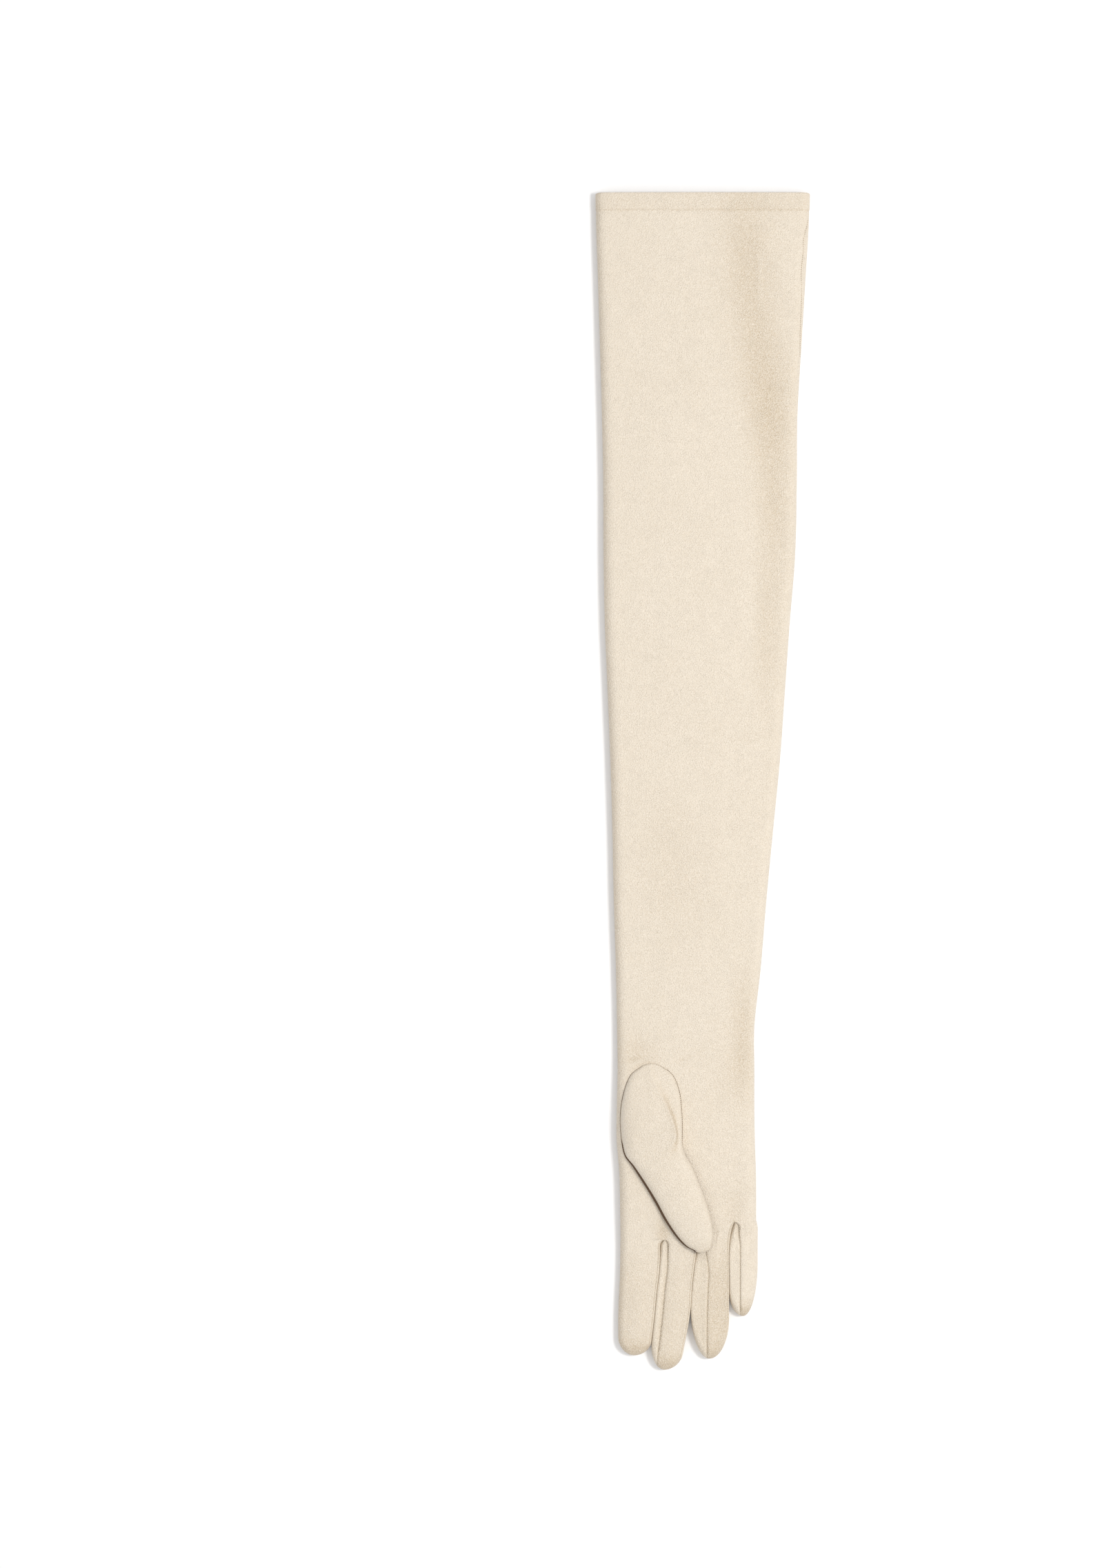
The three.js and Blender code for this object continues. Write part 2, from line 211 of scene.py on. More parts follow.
def grid_faces(rows: int, columns: int, first: int, closed: bool = False) -> Array:
    """Four-cornered faces of a grid of rows and columns.

    Args:
        rows: number of rows of points.
        columns: number of points in a row.
        first: number of the grid's first point.
        closed: whether the last column joins the first.

    Returns:
        An array with four point numbers a face.
    """
    r = np.arange(rows - 1)[:, None]
    c = np.arange(columns if closed else columns - 1)[None, :]
    n = (c + 1) % columns
    corners = [r * columns + c, r * columns + n, (r + 1) * columns + n, (r + 1) * columns + c]
    full = [np.broadcast_to(k, (rows - 1, c.size)) for k in corners]
    return np.stack(full, -1).reshape(-1, 4) + first


@dataclass
class Patchwork:
    """Grids gathered into one mesh, whose shared points are made one."""

    points: list[Array] = field(default_factory=list)
    faces: list[Array] = field(default_factory=list)
    shades: list[Array] = field(default_factory=list)
    count: int = 0

    def add(self, x: Array, y: Array, z: Array, shade: Array | float = 0.0, turn: bool = False,
            closed: bool = False) -> None:
        """Add a grid of points, in millimetres.

        Args:
            x: places across, one row of the grid a row.
            y: places along.
            z: heights.
            shade: painted shade there, from 0 to 1, and up to 2 in a crease painted as a dark shadow.
            turn: whether its faces are turned over.
            closed: whether its last column joins the first.
        """
        x, y, z, shade = np.broadcast_arrays(x, y, z, shade)
        faces = grid_faces(*x.shape, self.count, closed)
        self.faces.append(faces[:, ::-1] if turn else faces)
        self.points.append(np.stack([x, y, z], -1).reshape(-1, 3))
        self.shades.append(np.asarray(shade, float).reshape(-1))
        self.count += x.size

    def mesh(self, name: str, drop: Array | None = None) -> bpy.types.Object:
        """Make the mesh object: points closer than the weld are one, faces that shrink are mended.

        Args:
            name: the object's name.
            drop: optional test of the faces' centres, true where a face is left out.

        Returns:
            The new object at the origin, smooth.
        """
        points = np.concatenate(self.points)
        faces = np.concatenate(self.faces)
        if drop is not None:
            faces = faces[~drop(points[faces].mean(1))]
        welded = np.round(points, WELD_DIGITS)
        _, keep, same = np.unique(welded, axis=0, return_index=True, return_inverse=True)
        faces = same.reshape(-1)[faces]
        kept = faces != np.roll(faces, -1, axis=1)
        whole = faces[kept.all(1)]
        folded = faces[kept.sum(1) == 3]
        corners = folded[kept[kept.sum(1) == 3]].reshape(-1, 3)
        whole = whole[(whole[:, 0] != whole[:, 2]) & (whole[:, 1] != whole[:, 3])]
        used = np.unique(np.concatenate([whole.reshape(-1), corners.reshape(-1)]))
        number = np.full(len(keep), -1)
        number[used] = np.arange(len(used))
        mesh = bpy.data.meshes.new(name)
        mesh.from_pydata((points[keep[used]] * MM).tolist(), [],
                         number[whole].tolist() + number[corners].tolist())
        mesh.polygons.foreach_set("use_smooth", np.ones(len(mesh.polygons), bool))
        shade = mesh.attributes.new(SHADE, "FLOAT", "POINT")
        shade.data.foreach_set("value", np.concatenate(self.shades)[keep[used]].astype(np.float32))
        mesh.update()
        made = bpy.data.objects.new(name, mesh)
        bpy.context.scene.collection.objects.link(made)
        return made


def add_wall(piece: bpy.types.Object, thickness: float, inner: int = 0) -> None:
    """Give a surface its wall inwards, as a Solidify modifier.

    Args:
        piece: the surface.
        thickness: of the wall, in millimetres.
        inner: how many material slots further the inner side takes its finish from.
    """
    wall = piece.modifiers.new("wall", "SOLIDIFY")
    wall.thickness = thickness * MM
    wall.offset = -1.0
    wall.use_rim = True
    wall.material_offset = inner


def along_path(path: Array, spacing: float) -> tuple[Array, Array]:
    """Evenly spaced places on a path.

    Args:
        path: points of the path, one a row.
        spacing: about the distance between two places.

    Returns:
        The places, and the path's direction at each.
    """
    lengths = np.concatenate([[0.0], np.cumsum(np.linalg.norm(np.diff(path, axis=0), axis=1))])
    count = max(2, int(round(lengths[-1] / spacing)))
    wanted = (np.arange(count) + 0.5) * lengths[-1] / count
    places = np.stack([np.interp(wanted, lengths, path[:, k]) for k in range(3)], -1)
    ahead = np.stack([np.interp(wanted + spacing / 4, lengths, path[:, k]) for k in range(3)], -1)
    behind = np.stack([np.interp(wanted - spacing / 4, lengths, path[:, k]) for k in range(3)], -1)
    heading = ahead - behind
    return places, heading / np.linalg.norm(heading, axis=1, keepdims=True)


@dataclass(frozen=True)
class Stitching:
    """Stitches as small spindles of thread that lie along a seam."""

    spacing: float = 1.25
    length: float = 0.95
    thick: float = 0.34
    sides: int = 6
    rings: int = 4

    def add(self, work: Patchwork, path: Array, up: Array, shade: float = 0.0) -> None:
        """Add the stitches of a seam: each a spindle, thick in its middle, pointed at its ends.

        Args:
            work: the mesh that takes them.
            path: points of the seam.
            up: direction away from the leather, one for the whole seam.
            shade: painted shade on them, from 0 to 2.
        """
        places, heading = along_path(path, self.spacing)
        side = np.cross(up, heading)
        side /= np.linalg.norm(side, axis=1, keepdims=True)
        over = np.cross(heading, side)
        t = np.linspace(-1.0, 1.0, self.rings + 1)
        angle = steps_between(0.0, 2 * math.pi, self.sides)
        radius = self.thick / 2 * np.sqrt(np.maximum(1 - t * t, 0.0))
        rows = np.arange(len(places))[:, None, None]
        ring = radius[None, :, None]
        spindle = places[rows] + heading[rows] * (t * self.length / 2)[None, :, None, None]
        spindle = spindle + side[rows] * (ring * np.cos(angle))[..., None]
        spindle = spindle + over[rows] * (ring * np.sin(angle))[..., None]
        faces = grid_faces(self.rings + 1, self.sides, 0, closed=True)
        block = (self.rings + 1) * self.sides
        starts = work.count + block * np.arange(len(places))
        work.faces.append((faces[None] + starts[:, None, None]).reshape(-1, 4)[:, ::-1])
        work.points.append(spindle.reshape(-1, 3))
        work.shades.append(np.full(block * len(places), shade))
        work.count += block * len(places)


# Sizes


@dataclass(frozen=True)
class Sizes:
    """Driving sizes of the glove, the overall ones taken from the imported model."""

    length: float
    cuff_width: float
    wrist_width: float = 81.6
    palm_width: float = 81.4
    palm_length: float = 123.0
    wrist_offset: float = -10.2
    middle_length: float = 77.1
    leather: float = 1.0
    seam_gap: float = 0.3
    hem_depth: float = 10.6
    cuff_height: float = 11.5
    wrist_height: float = 11.5
    palm_height: float = 13.0
    root_height: float = 11.5
    finger_height: float = 11.0
    crown: float = 0.8
    little_rise: float = 10.7
    web: float = 0.9

    @property
    def tip_y(self) -> float:
        """Tip of the middle finger."""
        return -self.length / 2

    @property
    def cuff_y(self) -> float:
        """Edge of the cuff."""
        return self.length / 2

    @property
    def root_y(self) -> float:
        """Roots of the long fingers."""
        return self.tip_y + self.middle_length

    @property
    def wrist_y(self) -> float:
        """The wrist."""
        return self.root_y + self.palm_length

    @property
    def palm_left(self) -> float:
        """The palm's index edge at the roots of the fingers."""
        return self.wrist_offset * (1 - ROOT_DRIFT) - self.palm_width * ROOT_WIDTH / 2

    def step_back(self, x: Array) -> Array:
        """How far the roots of the fingers step back, towards the little finger."""
        return self.little_rise * smooth(((x - self.palm_left) / self.palm_width - 0.6) / 0.24)


ROOT_WIDTH = 0.993
ROOT_DRIFT = 0.16

# The hand from the roots of the fingers to the wrist, and the sleeve from the wrist to the cuff.
# along: share of its length. width: share of the palm's width, or of the growth from wrist to cuff.
# drift: share of the way to the middle. height: share of the way from root to palm, or of the swell.
HAND = np.array([
    # along, width, drift, height
    (0.0, 0.993, 0.16, 0.0),
    (0.06, 0.994, 0.155, 0.25),
    (0.16, 0.996, 0.145, 0.65),
    (0.33, 1.0, 0.11, 1.0),
    (0.5, 1.012, 0.0, 1.0),
    (0.66, 1.006, 0.0, 1.0),
    (0.83, 1.002, 0.02, 0.55),
])
SLEEVE = np.array([
    # along, flare, drift, swell
    (0.0, 0.0, 0.0, 0.0),
    (0.08, 0.105, 0.16, 0.3),
    (0.16, 0.205, 0.26, 0.55),
    (0.245, 0.312, 0.42, 0.8),
    (0.33, 0.43, 0.56, 0.95),
    (0.41, 0.527, 0.62, 1.0),
    (0.49, 0.625, 0.68, 1.0),
    (0.57, 0.71, 0.8, 0.95),
    (0.655, 0.735, 0.84, 0.85),
    (0.735, 0.76, 0.82, 0.7),
    (0.82, 0.84, 0.88, 0.5),
    (0.9, 0.92, 0.94, 0.25),
    (0.96, 0.98, 0.98, 0.1),
    (1.0, 1.0, 1.0, 0.0),
])
SLEEVE_SWELL = 1.4

# Soft hollows and swellings of the palm side. along: share of the glove's length from the
# fingertips. across: share of half the cuff's width. reach and spread: the same shares. height: mm.
RELIEF = np.array([
    # along, across, reach, spread, height
    (0.950, 0.40, 0.06, 0.22, -0.8),
    (0.885, 0.50, 0.06, 0.2, -0.55),
    (0.825, 0.60, 0.05, 0.22, -0.9),
    (0.745, 0.66, 0.075, 0.16, -0.85),
    (0.620, 0.58, 0.07, 0.16, -0.6),
    (0.289, 0.38, 0.045, 0.11, -0.8),
    (0.800, -0.35, 0.06, 0.35, 0.5),
    (0.620, 0.1, 0.09, 0.4, 0.45),
    (0.430, -0.3, 0.06, 0.3, -0.35),
    (0.268, -0.62, 0.016, 0.16, -0.7),
    (0.250, 0.35, 0.03, 0.3, -0.4),
    (0.118, -0.37, 0.012, 0.06, -1.0),
    (0.118, -0.02, 0.014, 0.06, -1.2),
    (0.135, 0.29, 0.02, 0.09, -0.5),
])
# Fine creases of the palm side. start and end: along and across as above. width and height: mm.
CREASES = np.array([
    # along, across, end along, end across, width, height
    (0.955, 0.565, 0.900, 0.56, 1.3, 0.45),
    (0.541, -0.1, 0.5405, 0.75, 1.6, -0.3),
    (0.263, -0.76, 0.268, -0.56, 0.9, -0.5),
    (0.259, -0.74, 0.2635, -0.55, 0.8, 0.4),
    (0.266, -0.72, 0.2715, -0.5, 0.8, 0.35),
    (0.262, -0.3, 0.2685, -0.08, 0.8, -0.4),
    (0.2585, -0.27, 0.2645, -0.06, 0.8, 0.3),
    (0.105, -0.29, 0.0985, -0.23, 0.8, -0.4),
    (0.108, -0.3, 0.1025, -0.22, 0.8, 0.35),
    (0.1215, 0.1, 0.113, 0.17, 0.9, -0.4),
    (0.1245, 0.11, 0.1165, 0.19, 0.8, 0.35),
])
CREASE_BOW = 0.05
CREASE_FADE = 0.25


def relief_at(sizes: Sizes, x: Array, y: Array) -> Array:
    """Height of the soft relief: a sum of bells, and of bells across the creases.

    Args:
        sizes: the glove's sizes.
        x: places across.
        y: places along.

    Returns:
        The heights in millimetres.
    """
    along = (y - sizes.tip_y) / sizes.length
    across = x / (sizes.cuff_width / 2)
    total = np.zeros(np.broadcast(x, y).shape)
    for spot_along, spot_across, reach, spread, height in RELIEF:
        total += height * bell((along - spot_along) / reach) * bell((across - spot_across) / spread)
    for along_0, across_0, along_1, across_1, width, height in CREASES:
        start = np.array([across_0 * sizes.cuff_width / 2, sizes.tip_y + along_0 * sizes.length])
        end = np.array([across_1 * sizes.cuff_width / 2, sizes.tip_y + along_1 * sizes.length])
        run = end - start
        reach = np.linalg.norm(run)
        t = ((x - start[0]) * run[0] + (y - start[1]) * run[1]) / reach**2
        off = ((x - start[0]) * run[1] - (y - start[1]) * run[0]) / reach
        bow = CREASE_BOW * reach * np.sin(math.pi * np.clip(t, 0, 1))
        fade = smooth(t / CREASE_FADE) * smooth((1 - t) / CREASE_FADE)
        total += height * fade * bell((off - bow) / width)
    return total


@dataclass(frozen=True)
class Finger:
    """A finger: its length, whether it steps back, its seams as shares of its half width, on the
    palm side at the root and at the end and on the back, how long its tip rounds off on the left
    and on the right, how long the round ends of its slits are, and how much painted shade its palm face
    takes."""

    name: str
    length: float
    rise: float
    left_palm: tuple[float, float]
    left_back: float
    right_palm: tuple[float, float]
    right_back: float
    left_reach: float
    right_reach: float
    left_slit: float
    right_slit: float
    shade: float


FINGERS = (
    Finger("index", 68.5, 0.0, (-1.0, -1.0), -1.0, (0.9, 0.9), 0.6, 11.0, 9.0, 3.0, 3.0, 0.22),
    Finger("middle", 77.1, 0.0, (-0.565, -0.55), -0.86, (0.9, 0.9), 0.6, 18.0, 9.5, 3.0, 3.0, 0.25),
    Finger("ring", 70.5, 0.0, (-0.5, -0.13), -0.86, (0.84, 0.93), 0.5, 36.0, 25.0, 3.0, 5.3, 0.55),
    Finger("little", 55.8, 1.0, (-0.43, -0.23), -0.84, (1.0, 1.0), 1.0, 16.0, 32.0, 5.3, 5.3, 0.0),
)
# Where the left and right edges of the fingers run, before their tips round off. along: share of the
# finger's length from its root. left and right: shares of the palm's width from its index edge.
EDGES = {
    "index": np.array([
        # along, left, right
        (0.0, 0.0, 0.29),
        (0.27, -0.002, 0.282),
        (0.43, -0.008, 0.2645),
        (0.657, -0.015, 0.247),
        (0.898, -0.015, 0.225),
        (1.0, -0.015, 0.216),
    ]),
    "middle": np.array([
        # along, left, right
        (0.0, 0.2915, 0.564),
        (0.091, 0.2895, 0.554),
        (0.24, 0.2835, 0.5335),
        (0.383, 0.266, 0.52),
        (0.506, 0.2555, 0.513),
        (0.584, 0.2485, 0.504),
        (0.687, 0.238, 0.4886),
        (0.798, 0.2265, 0.468),
        (1.0, 0.208, 0.433),
    ]),
    "ring": np.array([
        # along, left, right
        (0.0, 0.5655, 0.831),
        (0.057, 0.56, 0.811),
        (0.113, 0.553, 0.7995),
        (0.17, 0.545, 0.7935),
        (0.349, 0.5265, 0.7925),
        (0.553, 0.5125, 0.7925),
        (0.7, 0.5085, 0.7925),
        (1.0, 0.5085, 0.7925),
    ]),
    "little": np.array([
        # along, left, right
        (0.0, 0.8322, 1.0),
        (0.081, 0.8122, 1.0024),
        (0.172, 0.8007, 1.0024),
        (0.276, 0.7947, 1.0024),
        (0.5, 0.7937, 1.0024),
        (1.0, 0.7937, 1.0024),
    ]),
}
# Where the three slits between the fingers begin, as shares of the palm's width
SLITS = (0.322, 0.579, 0.831)
SEAM_BEND = 0.3
TIP_THIN = 7.0
TIP_LIFT = 0.1
# Rows of a finger, in millimetres: how far from its root the first ones lie, where the even ones
# begin and how far apart they are, and how far from the tip the close ones begin
ROOT_ROWS = np.array([0.0, 0.1, 0.3, 0.6, 1.0, 1.5, 2.1, 2.8, 3.7, 4.8])
EVEN_FROM = 6.1
EVEN_STEP = 1.35
TIP_ROWS = 12.0
TIP_COUNT = 16
# How far from a finger's root its seams are drawn in and its face takes its painted shade, and how far from
# its tip the seams end and the painted shade of the tip, which rounds down away from the light, begins
SEAM_ROOT = 2.5
PAINTED_SHADE_ROOT = 25.0
SEAM_TIP = 3.0
PAINTED_SHADE_TIP = 14.0
# Painted shade: by the hollows' depth, on the rolled left edge, which faces away from the light,
# and in the groove along the hem's seam; and how much darker the hem band is
HOLLOW_PAINTED_SHADE = 0.6
EDGE_PAINTED_SHADE = 0.45
HEM_LINE_PAINTED_SHADE = 0.35
HEM_SHADE = 0.16
# The hem's seam on the outside: the step up to the double leather and the groove before it
HEM_STEP = 0.35
HEM_GROOVE = 0.3
HEM_GROOVE_WIDTH = 0.8
# The side seam's groove and the ridge beside it
SIDE_GROOVE = 0.7
SIDE_RIDGE = 0.35


def seam_profile(distance: Array, depth: float = 0.38, ridge: float = 0.1) -> Array:
    """Height beside a seam: the edge is drawn in, and the leather bulges a little next to it.

    Args:
        distance: from the seam in millimetres.
        depth: how far the very edge is drawn in.
        ridge: height of the bulge.

    Returns:
        The height over the plain leather.
    """
    return ridge * bell((distance - 1.3) / 0.8) - depth * bell(distance / 0.42)


def seam_painted_shade(distance: Array) -> Array:
    """Painted shade next to a seam, from 0 to 1: a narrow dark line in the crease, where shade falls."""
    return 0.5 * bell(distance / 0.3)


def edge_painted_shade(nx: Array) -> Array:
    """Painted shade on a rolled left edge, by how far it faces left, away from the light."""
    return EDGE_PAINTED_SHADE * smooth((-nx - 0.3) / 0.7)


@dataclass
class Hand:
    """The shared form of palm, sleeve and fingers, from which trank and forks are cut."""

    sizes: Sizes
    fade_height: float = 16.0
    fade_along: float = 32.0
    square_root: float = 7.5
    square_tip: float = 2.4
    press: float = 0.13
    fade_step: float = 0.45
    under_waves: float = 0.12

    def outline(self, y: Array) -> tuple[Array, Array, Array]:
        """Middle, half width and height of palm and sleeve at a place along the glove."""
        s = self.sizes
        y_table = np.concatenate([s.root_y + HAND[:, 0] * s.palm_length,
                                  s.wrist_y + SLEEVE[:, 0] * (s.cuff_y - s.wrist_y)])
        wide = mix(s.wrist_width, s.cuff_width, SLEEVE[:, 1])
        half = np.concatenate([s.palm_width * HAND[:, 1], wide]) / 2
        drift = np.concatenate([HAND[:, 2], SLEEVE[:, 2]])
        middle = s.wrist_offset * (1 - drift)
        tall = mix(s.wrist_height, s.cuff_height, SLEEVE[:, 0]) + SLEEVE_SWELL * SLEEVE[:, 3]
        height = np.concatenate([mix(s.root_height, s.palm_height, HAND[:, 3]), tall])
        return curve(y, y_table, middle), curve(y, y_table, half), curve(y, y_table, height)

    def body(self, way: Array, y: Array,
             inset: Array | float = 0.0) -> tuple[Array, Array, Array, Array]:
        """Points of palm and sleeve: the section carried along the outline.

        To the section's height come the relief, which fades with the square of the height towards
        the edges, the side seam, the hem's step and slight waves on the underside.

        Args:
            way: places round the section, as Section.at takes them.
            y: places along, before the step back at the little finger.
            inset: how far the whole section is drawn in.

        Returns:
            x, y, z, and the painted shade.
        """
        s = self.sizes
        middle, half, height = self.outline(y)
        rise = (height - s.crown) / 2
        section = Section(middle, half - inset, rise - inset, rise, s.crown)
        x, z, nx, nz = section.at(way)
        fade = 1 - smooth((y - s.root_y) / s.palm_length / self.fade_step)
        moved = y + fade * s.step_back(x)
        lift = relief_at(s, x, moved)
        above = np.where(nz > 0, 1.0, 0.0)
        weight = np.clip(z / height, 0.0, 1.0) ** 2 * above
        seam = self.side_seam(x, moved, middle + half) * above
        from_hem = y - (s.cuff_y - s.hem_depth)
        hem = HEM_STEP * smooth(from_hem / 0.9 + 0.5) - HEM_GROOVE * bell(from_hem / HEM_GROOVE_WIDTH)
        waves = 1 + np.sin(moved / 23.0 + x / 9.0)
        under = np.clip(-nz, 0, 1) * self.under_waves * waves
        x = x + nx * hem * 0.6
        z = z + lift * weight + seam + np.maximum(nz, 0) * hem + under
        # Painted shade: a dark line in the groove of the hem's seam, on the left edge that faces away from
        # the light, and where the relief sinks; the hem band a little darker
        past_seam = moved - (s.cuff_y - s.hem_depth)
        hem_darkening = HEM_LINE_PAINTED_SHADE * bell(past_seam / 0.7) + HEM_SHADE * smooth(past_seam / 0.6)
        shade = hem_darkening + edge_painted_shade(nx) - HOLLOW_PAINTED_SHADE * lift * weight
        return x, moved, z, np.clip(shade, 0.0, 1.0)

    def side_seam(self, x: Array, y: Array, edge: Array) -> Array:
        """Groove and ridge of the side seam, which shows on the palm side near the cuff.

        Args:
            x: places across.
            y: places along.
            edge: the right edge there.

        Returns:
            The height that it adds.
        """
        top = self.sizes.cuff_y
        inward = curve(-y, -(top - SIDE_SEAM[:, 0]), SIDE_SEAM[:, 1])
        off = x - (edge - inward)
        down = top - y
        fade = smooth((down - SIDE_SEAM[0, 0]) / 6.0) * smooth((SIDE_SEAM[-1, 0] - down) / 12.0)
        return fade * (SIDE_RIDGE * bell((off - 1.2) / 0.9) - SIDE_GROOVE * bell(off / 0.55))

    def tube(self, finger: Finger, far: Array) -> tuple[Section, Array, Array]:
        """A finger's sections: its edges run straight, then round off as ellipses to the tip.

        Args:
            finger: the finger.
            far: distances from its tip.

        Returns:
            The section at each, and the middle and half width that it has before it rounds off.
        """
        s = self.sizes
        along, left_share, right_share = EDGES[finger.name].T
        t = 1 - far / finger.length
        left = s.palm_left + s.palm_width * curve(t, along, left_share)
        right = s.palm_left + s.palm_width * curve(t, along, right_share)
        middle = (left + right) / 2
        full = (right - left) / 2 + self.press
        near_left = middle - full * ellipse(far / finger.left_reach)
        near_right = middle + full * ellipse(far / finger.right_reach)
        rise = (s.finger_height - s.crown) / 2
        level = rise * (1 - TIP_LIFT * (1 - smooth(far / TIP_THIN)))
        square = mix(self.square_tip, self.square_root, smooth((far - 4.0) / 30.0))
        left_square = np.full_like(square, 2.0) if finger.name == "index" else square
        right_square = np.full_like(square, 2.0) if finger.name == "little" else square
        section = Section((near_left + near_right) / 2, (near_right - near_left) / 2,
                          rise * ellipse(far / TIP_THIN), level, s.crown * smooth(far / (2 * TIP_THIN)),
                          left_square, right_square)
        return section, middle, full

    def seams_of(self, finger: Finger) -> dict[str, Array]:
        """Where the four seams of a finger lie round it, one value a row: each runs straight on
        until the rounding of the tip meets it."""
        far = self.stations(finger)
        section, middle, full = self.tube(finger, far)
        bend = smooth((1 - far / finger.length) / SEAM_BEND)

        def way(root: float, end: float) -> Array:
            """Way round the section of a seam that runs from its root share to its end share."""
            x = middle + mix(root, end, bend) * full
            return section.share_of((x - section.middle) / np.maximum(section.half, TINY))

        return {"left": way(*finger.left_palm), "right": way(*finger.right_palm),
                "left_back": 2 - way(finger.left_back, finger.left_back),
                "right_back": 2 - way(finger.right_back, finger.right_back)}

    def stations(self, finger: Finger) -> Array:
        """Distances from the tip of a finger's rows, close together at its root and its tip."""
        near = finger.length - ROOT_ROWS
        start = finger.length - EVEN_FROM
        run = np.linspace(start, TIP_ROWS, int((start - TIP_ROWS) / EVEN_STEP))[:-1]
        tip = TIP_ROWS * (1 - np.sin(np.linspace(0, math.pi / 2, TIP_COUNT)))
        return np.concatenate([near, run, tip])

    def strip(self, finger: Finger, start: Array, spread: Array, first: Array, last: Array,
              slit: Array) -> tuple[Array, Array, Array, Array]:
        """A strip of a finger's skin between two seams, joined to the points that it starts from.

        A point is the finger's own, plus its distance from the starting point at the root, which
        fades out: fast across, as the round end of a slit, slowly in height and along.

        Args:
            finger: the finger.
            start: points of the row that it starts from, one a row.
            spread: shares of the way between the seams, one a column.
            first: where the first seam lies round the finger, one a row.
            last: where the last seam lies.
            slit: how long the end of the slit is, one a column.

        Returns:
            x, y, z and the painted shade.
        """
        far = self.stations(finger)[:, None]
        section, _, _ = self.tube(finger, far)
        way = first[:, None] + (last - first)[:, None] * spread[None, :]
        x, z, nx, nz = section.at(way)
        v = finger.length - far
        girth = 2 * section.half + (math.pi - 2) * section.roll()
        from_first, from_last = (way - first[:, None]) * girth, (last[:, None] - way) * girth
        open_seam = smooth(far / SEAM_TIP)
        lift = (seam_profile(from_first) + seam_profile(from_last)) * smooth(v / SEAM_ROOT) * open_seam
        # Painted shade: a dark line in each seam's crease, the finger's share of shade on its palm face,
        # and shade where the tip rounds down away from the light
        dark = (seam_painted_shade(from_first) + seam_painted_shade(from_last)) * open_seam
        soft = finger.shade * smooth(v / PAINTED_SHADE_ROOT) + (1 - finger.shade) * (1 - smooth(far / PAINTED_SHADE_TIP))
        dark = dark + soft * np.where(nz > 0, 1.0, 0.0)
        if finger.name == "index":
            dark = dark + edge_painted_shade(nx)
        x = x + nx * lift
        z = np.maximum(z + nz * lift, 0.0)
        tip = self.sizes.root_y + finger.rise * self.sizes.little_rise - finger.length
        y = np.broadcast_to(tip + far, x.shape)
        return *self.joined(x, y, z, v, start, slit), np.clip(dark, 0.0, 1.0)

    def joined(self, x: Array, y: Array, z: Array, v: Array, start: Array,
               slit: Array) -> tuple[Array, Array, Array]:
        """Draw the first row of a finger's grid onto the points that it starts from."""
        across = 1 - ellipse(v / slit[None, :])
        x = x + (start[:, 0] - x[0]) * across
        follow = self.sizes.step_back(x) - self.sizes.step_back(start[:, 0])
        y = y + (start[:, 1] - y[0] + follow) * (1 - smooth(v / self.fade_along))
        z = z + (start[:, 2] - z[0]) * (1 - smooth(v / self.fade_height))
        return x, y, z


# The side seam from the cuff down: distance from the cuff's edge, and from the glove's right edge
SIDE_SEAM = np.array([
    (14.0, 0.4),
    (20.0, 1.2),
    (27.0, 2.7),
    (34.0, 2.6),
    (48.0, 2.9),
    (60.0, 1.9),
    (84.0, 1.3),
    (104.0, 0.1),
])


